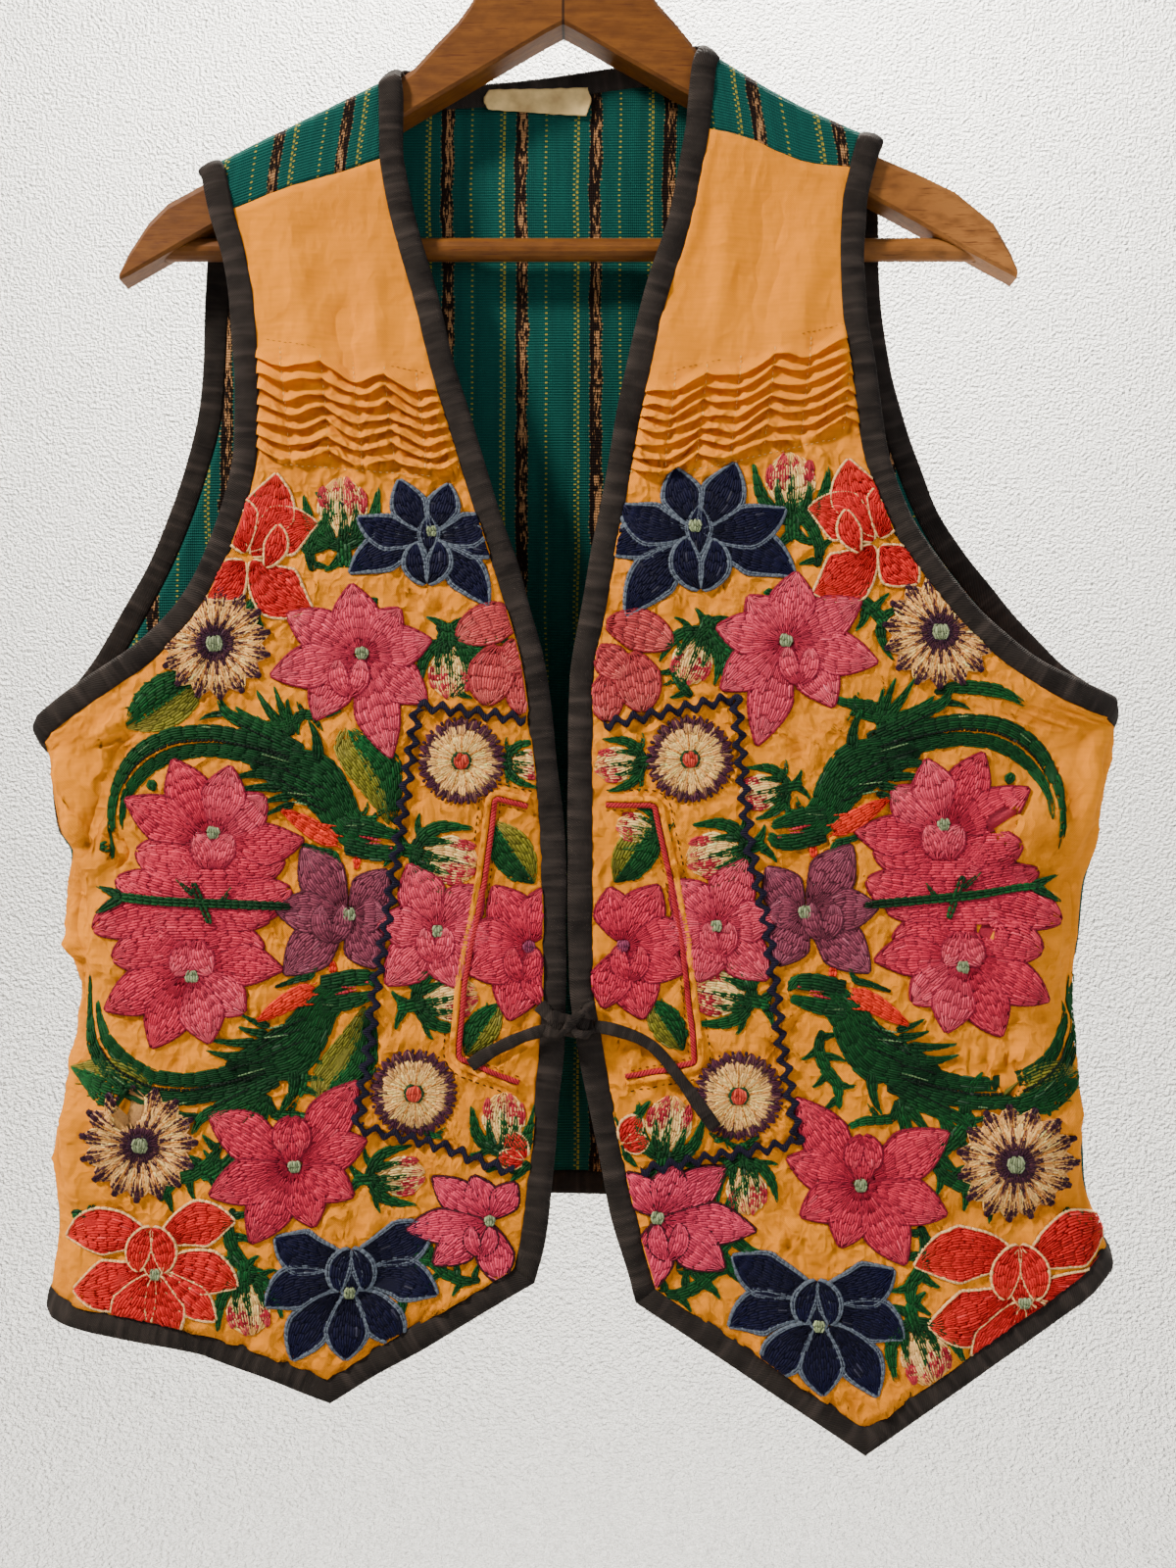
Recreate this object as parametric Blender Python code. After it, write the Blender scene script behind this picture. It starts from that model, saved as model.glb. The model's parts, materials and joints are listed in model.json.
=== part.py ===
"""Embroidered waistcoat hanging on a wooden coat hanger.

Frame: +Z up, +X to the right as the fronts are seen, the fronts towards -Y, the back towards +Y.
Origin: the inside top of the hook, where it bears on a rail or a peg.
All sizes below are in millimetres; points are scaled to metres when a mesh is made.

The cloth is worked out as a flattened ring: at every height the front lies FRONT_DEPTH before the
hanger's mid plane, the back BACK_DEPTH behind it, and each side turns round a fold of SIDE_TURN.
A place on a front is given by its girth (distance out from the centre line, carried on round the
side fold) and its height. A place on the back is given in the same way from the centre back.
"""

import math

import bpy
import numpy as np

MM = 0.001
SIDES = {"left": -1.0, "right": 1.0}

# ---------------------------------------------------------------- driving sizes
FRONT_WALL = 1.6  # embroidered cotton with its threads
BACK_WALL = 1.2  # handwoven cloth
SEAM_GAP = 0.3
SIDE_TURN = 30.0  # sideways radius of the fold at each side
FOLD_FADE = 14.0  # over this distance the folds die away towards a side seam
BINDING_WIDTH = 10.0  # finished width of the bias binding
BINDING_LIFT = 0.5  # the binding stands this far proud of the cloth on each face
MITRE_CUT = 0.2  # taken off each strip's end where it meets the next one
YOKE_CORNER = 5.5  # radius at which the yoke turns over the hanger's arm
YOKE_BACK_DROP = 13.0  # the back shoulder seam lies this far below the ridge
TUCKS = 7
TUCK_ROWS = 3  # rows of points to a tuck
TUCK_HEIGHT = 2.4
TUCK_SWAY = 1.6  # how far a tuck is pushed up or down where it is stitched over
FRONT_COLUMNS = 16
HANGER_HALF_THICKNESS = 10.0
HANGER_TIP_TAPER = 1.7  # half thickness lost between the middle and a tip
HANGER_HALF_SPAN = 216.0
BAR_RADIUS = 5.5
BAR_HEIGHT = -230.0
WIRE_RADIUS = 1.9
HOOK_RADIUS = 21.0  # to the middle of the wire


def table(columns, rows):
    """Named columns of a short table, each as an array."""
    return {name: np.array([row[i] for row in rows], float) for i, name in enumerate(columns.split())}


# How far the cloth lies before and behind the hanger's mid plane, to its inner face.
DEPTHS = table("z front back", [
    (-120, 10.4, 11.0),
    (-216, 10.4, 11.0),
    (-256, 13.0, 12.0),
    (-300, 17.0, 13.0),
    (-340, 20.0, 14.0),
    (-400, 24.0, 15.0),
    (-460, 26.0, 15.5),
    (-600, 27.0, 15.0),
    (-700, 26.0, 14.0),
    (-800, 25.0, 14.0),
])

# Each side's outline. seam_deg: how far round the side fold the seam runs, 0 in front, 90 at the side.
SIDE_SHAPE = {
    "left": table("z half_width seam_deg", [
        (-440, 251, 86),
        (-460, 250, 86),
        (-474, 244, 80),
        (-492, 243, 62),
        (-507, 241, 56),
        (-519, 234, 60),
        (-533, 235, 80),
        (-556, 236, 88),
        (-580, 229, 88),
        (-618, 231, 88),
        (-636, 236, 88),
        (-663, 242, 82),
        (-692, 240, 64),
        (-714, 241, 80),
        (-740, 245, 88),
    ]),
    "right": table("z half_width seam_deg", [
        (-440, 265, 86),
        (-458, 262, 86),
        (-474, 260, 88),
        (-497, 255, 84),
        (-513, 254, 72),
        (-533, 248, 60),
        (-561, 245, 60),
        (-580, 241, 80),
        (-600, 240, 86),
        (-627, 244, 66),
        (-649, 247, 58),
        (-673, 248, 62),
        (-694, 253, 82),
        (-717, 262, 88),
    ]),
}

# The front edge of the gold cloth, out from the centre line, from the yoke down to the hem.
FRONT_EDGE = {
    "left": table("z out", [
        (-190, 86.0),
        (-208, 83.0),
        (-227, 78.5),
        (-256, 70.0),
        (-292, 61.0),
        (-328, 50.0),
        (-363, 39.0),
        (-398, 28.0),
        (-433, 18.5),
        (-468, 14.0),
        (-510, 9.6),
        (-563, 8.7),
        (-597, 9.2),
        (-632, 12.0),
        (-667, 15.0),
        (-700, 19.0),
        (-711, 22.0),
    ]),
    "right": table("z out", [
        (-176, 68.5),
        (-204, 63.5),
        (-228, 58.0),
        (-256, 48.5),
        (-310, 36.5),
        (-363, 27.0),
        (-415, 17.5),
        (-440, 13.5),
        (-509, 12.9),
        (-577, 13.2),
        (-609, 18.0),
        (-623, 20.4),
        (-666, 29.0),
        (-696, 36.0),
        (-720.4, 43.0),
    ]),
}

# The armhole edge of each front and of the back, down to the top of the side seam.
FRONT_ARMHOLE = {
    "left": table("z out", [
        (-214, 157.0),
        (-236, 151.0),
        (-257, 147.0),
        (-278, 145.0),
        (-303, 143.5),
        (-327, 143.5),
        (-352, 147.0),
        (-384, 158.0),
        (-406, 169.5),
        (-427, 189.0),
        (-444, 213.0),
        (-459, 235.0),
    ]),
    "right": table("z out", [
        (-194.5, 136.5),
        (-212, 133.0),
        (-235, 132.0),
        (-259, 132.5),
        (-288, 136.0),
        (-331, 141.5),
        (-363, 152.0),
        (-392, 170.0),
        (-420, 194.0),
        (-439, 219.0),
        (-451, 244.0),
    ]),
}
BACK_ARMHOLE = {
    "left": table("z out", [
        (-204, 162.0),
        (-247, 164.0),
        (-302, 167.0),
        (-338, 176.0),
        (-375, 190.0),
        (-412, 209.5),
        (-440, 227.0),
        (-457, 240.0),
    ]),
    "right": table("z out", [
        (-190, 142.0),
        (-247, 143.5),
        (-284, 149.0),
        (-327, 161.0),
        (-364, 177.0),
        (-399, 203.0),
        (-425, 226.0),
        (-445, 248.0),
    ]),
}
UNDERARM = {"left": -470.0, "right": -459.0}  # height of the top of the side seam
SIDE_HEM = {"left": -725.0, "right": -703.0}  # height of its foot

# The seam between the gold front and the yoke, and the ridge of the yoke's outer face.
YOKE_SEAM = {
    "left": table("out z", [(86.0, -190.0), (102, -195.5), (125, -202.0), (157.0, -214.0)]),
    "right": table("out z", [(68.5, -176.0), (90, -181.5), (103, -187.5), (118, -192.5), (136.5, -194.5)]),
}
RIDGE = {
    "left": table("out z", [(60, -138.5), (86.5, -151.4), (130, -173.0), (164.5, -190.0), (180, -197.5)]),
    "right": table("out z", [(55, -128.0), (74.4, -140.5), (101, -156.8), (119, -165.9), (143, -176.5),
                             (158, -183)]),
}
# How far out the yokes' ends lie, at the front seam, on the ridge and at the back seam.
# The rows are the left yoke's neck end and armhole end, then the right yoke's.
YOKE_ENDS = table("front ridge back", [(86.0, 86.5, 70.0), (157.0, 164.5, 162.0),
                                       (68.5, 74.4, 58.0), (136.5, 143.0, 142.0)])
YOKE_END_ROW = {"left": 0, "right": 2}

# The hem of the gold cloth, from the front corner by the point to the side.
FRONT_HEM = {
    "left": table("out z", [(22, -711), (109, -762.3), (164, -741), (225, -729.4), (262, -725)]),
    "right": table("out z", [(43, -720.4), (140.5, -785.7), (200, -743.5), (249, -709), (279, -703)]),
}
HEM_POINT_COLUMN = {"left": 6, "right": 6}

# The back neck between the shoulder seams, and the arched back hem, from left to right.
BACK_NECK = table("x z", [(-70, -157.6), (-40, -156.3), (-7, -152.6), (21, -148.6), (40, -146.3),
                          (58, -145.4)])
BACK_HEM = table("x z", [(-262, -725), (-200, -712), (-110, -690), (0, -676), (110, -684), (200, -697),
                         (279, -703)])
BACK_SEAM_COLUMNS = 5
BACK_NECK_COLUMNS = 8

# Rows of points on the fronts: how many lie between one level and the next, and each level's
# height at the front edge and at the outer edge.
FRONT_LEVELS = {
    "left": table("rows z_edge z_outer", [
        (0, -190, -214), (4, -296, -280), (TUCKS * TUCK_ROWS, -340, -332), (7, -462, -470),
        (13, -711, -725)]),
    "right": table("rows z_edge z_outer", [
        (0, -176, -194.5), (4, -298, -272), (TUCKS * TUCK_ROWS, -343, -317), (7, -452, -459),
        (13, -720.4, -703)]),
}
BACK_ROWS_ABOVE = 9
BACK_ROWS_BELOW = 13  # as many as a front has below the underarm, so that the side seams agree
# Upright lines of stitching that push the tucks up and down by turns, out from the centre line.
TUCK_STITCHES = {"left": (51, 66, 81, 96, 111, 130, 148), "right": (34, 50, 65, 81, 97, 114, 134, 150)}

# The largest folds of the fronts: a trough (negative) or a ridge from one end to the other.
FOLDS = {
    "left": table("out z out_end z_end spread lift", [
        (236, -468, 206, -496, 8, -3.0),
        (246, -488, 196, -517, 10, -5.0),
        (246, -507, 204, -512, 9, 3.5),
        (240, -541, 196, -528, 10, -3.5),
        (232, -585, 190, -605, 12, -4.0),
        (238, -648, 202, -634, 11, 3.5),
        (236, -688, 205, -715, 11, -3.5),
        (60, -640, 90, -745, 16, -2.5),
        (150, -655, 165, -735, 18, 2.5),
        (112, -226, 100, -275, 16, -1.6),
    ]),
    "right": table("out z out_end z_end spread lift", [
        (250, -462, 214, -482, 9, -3.0),
        (254, -498, 206, -505, 10, 3.5),
        (252, -520, 204, -534, 10, -4.5),
        (244, -560, 198, -553, 10, 3.0),
        (238, -590, 196, -604, 12, -4.0),
        (246, -632, 208, -622, 11, 3.0),
        (250, -672, 206, -690, 12, -4.0),
        (70, -655, 95, -755, 16, -2.5),
        (165, -660, 175, -750, 18, 2.5),
        (95, -208, 80, -262, 16, -1.6),
    ]),
}
BACK_FOLDS = table("x z x_end z_end spread lift", [
    (-120, -280, -150, -660, 24, 2.5),
    (-45, -330, -40, -680, 26, -2.0),
    (40, -300, 55, -680, 24, 2.5),
    (125, -290, 160, -650, 26, -2.0),
    (-205, -500, -150, -540, 14, -3.0),
    (215, -500, 160, -548, 14, -3.0),
    (190, -600, 140, -590, 14, 2.5),
])

# Trim that lies on the fronts: wavy braid and piping, each round three sides of a square.
BRAID = {
    "left": table("out z", [(17, -456.5), (67, -450), (76, -513), (81, -550), (86, -577), (90, -613),
                            (95, -645), (56, -654), (23, -666)]),
    "right": table("out z", [(19, -459), (80, -446.5), (86, -513.5), (95, -554), (100, -600), (109, -652),
                             (70, -659), (36, -665)]),
}
PIPING = {
    "left": table("out z", [(16, -497), (31, -493), (36, -532), (45, -577), (48, -613), (20, -624.5)]),
    "right": table("out z", [(20, -496.3), (42.5, -496.4), (50, -531.5), (55, -559), (61.5, -615.5),
                             (29, -621.5)]),
}
BRAID_WAVE = 8.2  # length of one wave
BRAID_SWAY = 1.5
BRAID_WIDTH = 2.7
BRAID_THICKNESS = 0.8
PIPING_STEP = 9.0
PIPING_WIDTH = 3.6
PIPING_THICKNESS = 1.2
TRIM_CLEARANCE = 0.6  # over the worked-out surface, so that it clears the flat facets below it
LABEL_BOX = table("x z", [(-38.5, -149.0), (13.5, -148.0), (12.5, -162.0), (-38.5, -158.5)])
LABEL_WALL = 0.6

# Routes of the free tie ends, from the knot to the cut end, and their flat width direction.
TIES = {
    "left": table("x y z", [(-7.6, -35.2, -599.3), (-13, -34.6, -600.8), (-19, -33.6, -603.0),
                            (-25, -32.7, -605.8),
                            (-31, -32.2, -608.8), (-37, -32.0, -612.4), (-42.5, -32.0, -616.2)]),
    "right": table("x y z", [(14.7, -35.3, -597.6), (21, -35.0, -598.6), (28, -34.2, -600.6),
                             (35, -33.3, -603.3),
                             (41.5, -32.6, -607.3), (46.8, -32.2, -612.6), (51.6, -32.0, -618.8),
                             (57, -31.9, -626.0),
                             (62, -31.4, -633.0), (66.5, -31.1, -639.4), (70.5, -31.0, -645.2)]),
}
TIE_WIDTH = 6.6
TIE_THICKNESS = 2.2
KNOT_CENTRE = (3.7, -35.45, -597.2)
KNOT_HALF = (10.4, 5.6, 6.6)

# The hanger's outline: its top and its underside at each distance along.
HANGER = table("x top under", [
    (-211.0, -243.5, -246.5),
    (-206.4, -232.3, -244.2),
    (-197.0, -218.0, -238.8),
    (-188.0, -209.0, -233.6),
    (-174.3, -201.6, -225.8),
    (-150.0, -189.0, -212.0),
    (-130.0, -177.6, -200.6),
    (-100.0, -161.6, -183.5),
    (-77.5, -149.8, -170.5),
    (-70.6, -144.9, -166.3),
    (-60.8, -134.2, -160.5),
    (-50.0, -123.0, -154.2),
    (-43.6, -114.2, -150.4),
    (-36.0, -100.0, -145.9),
    (-28.0, -88.0, -141.2),
    (-18.0, -79.0, -135.3),
    (-8.0, -75.0, -129.5),
    (8.0, -75.0, -129.5),
    (18.0, -79.0, -135.3),
    (28.0, -88.0, -141.1),
    (36.0, -100.0, -145.6),
    (44.8, -114.2, -150.6),
    (54.1, -124.5, -155.8),
    (64.0, -137.0, -161.2),
    (78.0, -146.0, -169.0),
    (101.0, -160.0, -181.8),
    (119.0, -169.2, -191.9),
    (150.5, -187.2, -209.5),
    (167.7, -194.5, -219.0),
    (186.3, -203.4, -229.4),
    (204.9, -218.4, -239.6),
    (213.0, -232.5, -243.8),
    (216.0, -241.0, -245.5),
])
HANGER_APEX = (0.0, -75.0, -125.3)
HANGER_TOP_ROUND = 4.5
HANGER_UNDER_ROUND = 1.6


# ---------------------------------------------------------------- curves through tables
def smooth(at, xs, ys):
    """A monotone cubic through the points: each slope is the harmonic mean of its neighbours'."""
    order = np.argsort(xs)
    xs = xs[order]
    ys = ys[order]
    run = np.diff(xs)
    rise = np.diff(ys) / run
    slope = np.concatenate([[rise[0]], np.zeros(len(xs) - 2), [rise[-1]]])
    same = rise[:-1] * rise[1:] > 0
    slope[1:-1][same] = 2 * rise[:-1][same] * rise[1:][same] / (rise[:-1][same] + rise[1:][same])
    at = np.asarray(at, float)
    inside = np.clip(at, xs[0], xs[-1])
    cell = np.clip(np.searchsorted(xs, inside) - 1, 0, len(run) - 1)
    t = (inside - xs[cell]) / run[cell]
    value = (ys[cell] * (2 * t**3 - 3 * t**2 + 1) + ys[cell + 1] * (3 * t**2 - 2 * t**3)
             + run[cell] * (slope[cell] * (t**3 - 2 * t**2 + t) + slope[cell + 1] * (t**3 - t**2)))
    before = np.minimum(at - xs[0], 0) * slope[0]
    after = np.maximum(at - xs[-1], 0) * slope[-1]
    return value + before + after


def straight(at, xs, ys):
    """Straight lines through the points."""
    order = np.argsort(xs)
    return np.interp(at, xs[order], ys[order])


def blend(a, b, t):
    return a + (b - a) * t


def unit(vectors):
    return vectors / np.linalg.norm(vectors, axis=-1, keepdims=True)


# ---------------------------------------------------------------- the body of the waistcoat
def depth(which, z):
    return smooth(z, DEPTHS["z"], DEPTHS[which])


def half_width(side, z):
    return smooth(np.clip(z, -760, -440), SIDE_SHAPE[side]["z"], SIDE_SHAPE[side]["half_width"])


def seam_turn(side, z):
    """How far round the side fold the side seam runs, in radians."""
    return np.radians(smooth(np.clip(z, -760, -440), SIDE_SHAPE[side]["z"], SIDE_SHAPE[side]["seam_deg"]))


def folds(x, z, rows, along="out"):
    """The sum of the folds: each is a bell across its line, tapered to nothing at both ends."""
    lift = np.zeros(np.broadcast(x, z).shape)
    for i in range(len(rows["z"])):
        start = np.array([rows[along][i], rows["z"][i]])
        way = np.array([rows[along + "_end"][i], rows["z_end"][i]]) - start
        length = np.hypot(*way)
        share = ((x - start[0]) * way[0] + (z - start[1]) * way[1]) / length**2
        across = ((x - start[0]) * way[1] - (z - start[1]) * way[0]) / length
        taper = np.clip(np.minimum(share + 0.35, 1.35 - share) / 0.6, 0, 1)
        taper = taper**2 * (3 - 2 * taper)
        lift = lift + rows["lift"][i] * taper * np.exp(-((across / rows["spread"][i]) ** 2))
    return lift


def front_point(side, girth, z):
    """A point of a front's inner face. Past the flat part, an elliptical turn leads to the back."""
    girth, z = np.broadcast_arrays(np.asarray(girth, float), np.asarray(z, float))
    flat = half_width(side, z) - SIDE_TURN
    turn = np.clip((girth - flat) / SIDE_TURN, 0, math.pi)
    out = np.minimum(girth, flat) + SIDE_TURN * np.sin(turn)
    to_seam = flat + SIDE_TURN * seam_turn(side, z) - girth
    before = depth("front", z) + folds(girth, z, FOLDS[side]) * np.clip(to_seam / FOLD_FADE, 0, 1)
    y = np.where(turn < math.pi / 2, -before * np.cos(turn), -depth("back", z) * np.cos(turn))
    return np.stack([SIDES[side] * out, y, z], axis=-1)


def back_point(x, z):
    """A point of the back's inner face, in the same way from the centre back."""
    x, z = np.broadcast_arrays(np.asarray(x, float), np.asarray(z, float))
    width = np.where(x < 0, half_width("left", z), half_width("right", z))
    flat = width - SIDE_TURN
    turn = np.clip((np.abs(x) - flat) / SIDE_TURN, 0, math.pi)
    out = np.minimum(np.abs(x), flat) + SIDE_TURN * np.sin(turn)
    to_turn = flat - np.abs(x)
    behind = depth("back", z) + folds(x, z, BACK_FOLDS, along="x") * np.clip(to_turn / FOLD_FADE, 0, 1)
    y = np.where(turn < math.pi / 2, behind * np.cos(turn), depth("front", z) * np.cos(turn))
    return np.stack([np.sign(x) * out, y, z], axis=-1)


def outward(point, across, z, inward_hint):
    """The surface's unit normal from small steps along both of its directions, away from the hint."""
    step = 0.4
    a = point(across + step, z) - point(across - step, z)
    b = point(across, z + step) - point(across, z - step)
    normal = unit(np.cross(a, b))
    flip = np.sign(np.sum(normal * inward_hint, axis=-1, keepdims=True))
    return -normal * np.where(flip == 0, 1, flip)


def girth_at(side, out, z):
    """The girth at which a front's surface lies this far out from the centre line."""
    flat = half_width(side, z) - SIDE_TURN
    past = np.clip((out - flat) / SIDE_TURN, 0, 1)
    return np.minimum(out, flat) + SIDE_TURN * np.arcsin(past)


def outer_girth(side, z, armhole, turn_of):
    """A panel's outer edge as girth: the armhole above the underarm, the side seam below it."""
    def seam(at):
        return half_width(side, at) - SIDE_TURN * (1 - turn_of(at)) - SEAM_GAP

    top = UNDERARM[side]
    zs = np.append(armhole["z"], top)
    girths = np.append(girth_at(side, armhole["out"], armhole["z"]), seam(top))
    return np.where(z > top, smooth(z, zs, girths), seam(z))


def front_grid(side):
    """Girth and height of every point of a front: rows run down, columns from the front edge out."""
    levels = FRONT_LEVELS[side]
    z_edge = [levels["z_edge"][0]]
    z_outer = [levels["z_outer"][0]]
    for i in range(1, len(levels["rows"])):
        steps = np.arange(1, int(levels["rows"][i]) + 1) / levels["rows"][i]
        z_edge.extend(blend(levels["z_edge"][i - 1], levels["z_edge"][i], steps))
        z_outer.extend(blend(levels["z_outer"][i - 1], levels["z_outer"][i], steps))
    z_edge = np.array(z_edge)
    z_outer = np.array(z_outer)
    edge = smooth(z_edge, FRONT_EDGE[side]["z"], FRONT_EDGE[side]["out"])
    outer = outer_girth(side, z_outer, FRONT_ARMHOLE[side], lambda at: seam_turn(side, at))
    hem = FRONT_HEM[side]
    share = np.linspace(0, 1, FRONT_COLUMNS + 1)
    point_share = (hem["out"][1] - hem["out"][0]) / (outer[-1] - hem["out"][0])
    hem_share = np.interp(np.arange(FRONT_COLUMNS + 1), [0, HEM_POINT_COLUMN[side], FRONT_COLUMNS],
                          [0, point_share, 1])
    rows = len(z_edge) - 1
    tuck_end = int(levels["rows"][:3].sum())
    down = np.clip((np.arange(rows + 1) - tuck_end) / (rows - tuck_end), 0, 1)[:, None]
    u = blend(share[None, :], hem_share[None, :], down)
    girth = blend(edge[:, None], outer[:, None], u)
    z = blend(z_edge[:, None], z_outer[:, None], u)
    seam = YOKE_SEAM[side]
    seam_z = smooth(girth[0], seam["out"], seam["z"]) - SEAM_GAP
    fade = np.clip(1 - np.arange(rows + 1) / levels["rows"][1], 0, 1)[:, None]
    z = z + fade * (seam_z - z[0])
    hem_z = straight(girth[-1], np.append(hem["out"][:-1], outer[-1]), hem["z"])
    sag = np.clip((np.arange(rows + 1) - tuck_end) / (rows - tuck_end), 0, 1)[:, None] ** 1.6
    z = z + sag * (hem_z - z[-1])
    return girth, z


def tuck_relief(side, girth, z):
    """Height and upward sway of the tucks: a crest on the middle row of each tuck, which the
    upright lines of stitching push up and down by turns. Nothing at the cut edges."""
    levels = FRONT_LEVELS[side]
    first = int(levels["rows"][1])
    lift = np.zeros(girth.shape)
    sway = np.zeros(girth.shape)
    lines = np.array(TUCK_STITCHES[side], float)
    phase = np.interp(girth, lines, np.pi * np.arange(len(lines)))
    inside = np.ones(girth.shape[1])
    inside[[0, -1]] = 0.35
    for tuck in range(TUCKS):
        crest = first + tuck * TUCK_ROWS + 1
        lift[crest] = TUCK_HEIGHT * inside
        lift[crest + 1] = 0.45 * TUCK_HEIGHT * inside
        sway[crest] = TUCK_SWAY * np.cos(phase[crest]) * inside
        sway[crest, [0, -1]] = 0
    return lift, sway


# ---------------------------------------------------------------- the yokes over the hanger's arms
def ridge_z(side, out):
    return smooth(out, RIDGE[side]["out"], RIDGE[side]["z"])


def ridge_cos(side, out):
    slope = (ridge_z(side, out + 1) - ridge_z(side, out - 1)) / 2
    return 1 / np.sqrt(1 + slope**2)


def yoke_point(side, out, y, drop):
    """A point of the yoke's inner face: so far out, at this y, this far below the ridge."""
    z = ridge_z(side, out) - (drop + BACK_WALL) / ridge_cos(side, out)
    return np.stack(np.broadcast_arrays(SIDES[side] * out, y, z), axis=-1)


def yoke_profile():
    """The turn over the arm: y and drop below the ridge, from the front face over to the back."""
    front = -depth("front", -150.0)
    back = depth("back", -150.0)
    bend = np.radians([90, 60, 30, 0])
    inset = YOKE_CORNER * (1 - np.sin(bend))
    y = np.concatenate([front + inset, back - inset[::-1]])
    drop = YOKE_CORNER * (1 - np.cos(bend))
    return y, np.concatenate([drop, drop[::-1]])


def yoke_grid(side, columns):
    """Inner points and outward normals: rows from the front seam over the arm to the back seam."""
    row = YOKE_END_ROW[side]
    share = np.linspace(0, 1, columns + 1)
    out_front, out_ridge, out_back = (blend(YOKE_ENDS[key][row], YOKE_ENDS[key][row + 1], share)
                                      for key in ("front", "ridge", "back"))
    seam_z = smooth(out_front, YOKE_SEAM[side]["out"], YOKE_SEAM[side]["z"])
    seam_drop = (ridge_z(side, out_front) - seam_z) * ridge_cos(side, out_front) - BACK_WALL
    turn_y, turn_drop = yoke_profile()
    outs = []
    ys = []
    drops = []
    for part in (0.0, 0.5):
        outs.append(blend(out_front, out_ridge, part))
        ys.append(np.full(columns + 1, turn_y[0]))
        drops.append(blend(seam_drop, YOKE_CORNER, part))
    for j in range(len(turn_y)):
        back_share = max(j - 2, 0) / (len(turn_y) - 1)
        forward_share = max(3 - j, 0) / 6
        out = out_ridge + forward_share * (out_front - out_ridge) + back_share**2 * (out_back - out_ridge)
        outs.append(out)
        ys.append(np.full(columns + 1, turn_y[j]))
        drops.append(np.full(columns + 1, turn_drop[j]))
    outs.append(out_back)
    ys.append(np.full(columns + 1, turn_y[-1]))
    drops.append(np.full(columns + 1, YOKE_BACK_DROP - SEAM_GAP))
    points = yoke_point(side, np.array(outs), np.array(ys), np.array(drops))
    return points


def grid_normals(points, away_from):
    """Normals of a grid of points by differences, turned away from the given point."""
    across = np.gradient(points, axis=1)
    along = np.gradient(points, axis=0)
    normal = unit(np.cross(across, along))
    flip = np.sign(np.sum(normal * (points - away_from), axis=-1, keepdims=True))
    return normal * flip


# ---------------------------------------------------------------- meshes
def material(name, colour, roughness, metallic=0.0):
    made = bpy.data.materials.new(name)
    made.use_nodes = True
    shader = made.node_tree.nodes["Principled BSDF"]
    shader.inputs["Base Color"].default_value = (*colour, 1.0)
    shader.inputs["Roughness"].default_value = roughness
    shader.inputs["Metallic"].default_value = metallic
    return made


GOLD = (0.74, 0.33, 0.07)
GREEN = (0.01, 0.11, 0.09)
CHARCOAL = (0.04, 0.03, 0.03)
NAVY = (0.01, 0.01, 0.03)
ROSE = (0.52, 0.05, 0.07)
CREAM = (0.75, 0.61, 0.41)
WOOD = (0.43, 0.16, 0.05)
STEEL = (0.55, 0.55, 0.55)


def solid(name, points, faces, colour, roughness=0.8, metallic=0.0, is_smooth=True):
    """One closed mesh object from points in millimetres, its faces turned outwards."""
    points = np.asarray(points, float)
    volume = 0.0
    for face in faces:
        for i in range(1, len(face) - 1):
            volume += np.dot(points[face[0]], np.cross(points[face[i]], points[face[i + 1]]))
    if volume < 0:
        faces = [tuple(reversed(face)) for face in faces]
    mesh = bpy.data.meshes.new(name)
    mesh.from_pydata((points * MM).tolist(), [], [tuple(int(i) for i in face) for face in faces])
    mesh.update()
    if is_smooth:
        mesh.shade_smooth()
        mesh.set_sharp_from_angle(angle=math.radians(40))
    made = bpy.data.objects.new(name, mesh)
    made.data.materials.append(material(name, colour, roughness, metallic))
    bpy.context.scene.collection.objects.link(made)
    return made


def wall(name, inner, outer, colour):
    """A wall of cloth between two grids of points, closed round its rim."""
    rows, columns = inner.shape[:2]
    count = rows * columns
    number = np.arange(count).reshape(rows, columns)
    faces = []
    for i in range(rows - 1):
        for j in range(columns - 1):
            quad = (number[i, j], number[i, j + 1], number[i + 1, j + 1], number[i + 1, j])
            faces.append(quad)
            faces.append(tuple(count + k for k in reversed(quad)))
    rim = np.concatenate([number[0, :-1], number[:-1, -1], number[-1, :0:-1], number[:0:-1, 0]])
    for a, b in zip(rim, np.roll(rim, -1)):
        faces.append((b, a, count + a, count + b))
    return solid(name, np.concatenate([inner.reshape(-1, 3), outer.reshape(-1, 3)]), faces, colour)


def ring_faces(stations, sides, closed):
    """Faces of a tube of so many stations and sides, with end caps unless it closes on itself."""
    faces = []
    for i in range(stations if closed else stations - 1):
        here = i * sides
        there = (i + 1) % stations * sides
        for j in range(sides):
            k = (j + 1) % sides
            faces.append((here + j, here + k, there + k, there + j))
    if not closed:
        faces.append(tuple(reversed(range(sides))))
        faces.append(tuple(range((stations - 1) * sides, stations * sides)))
    return faces


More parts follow.
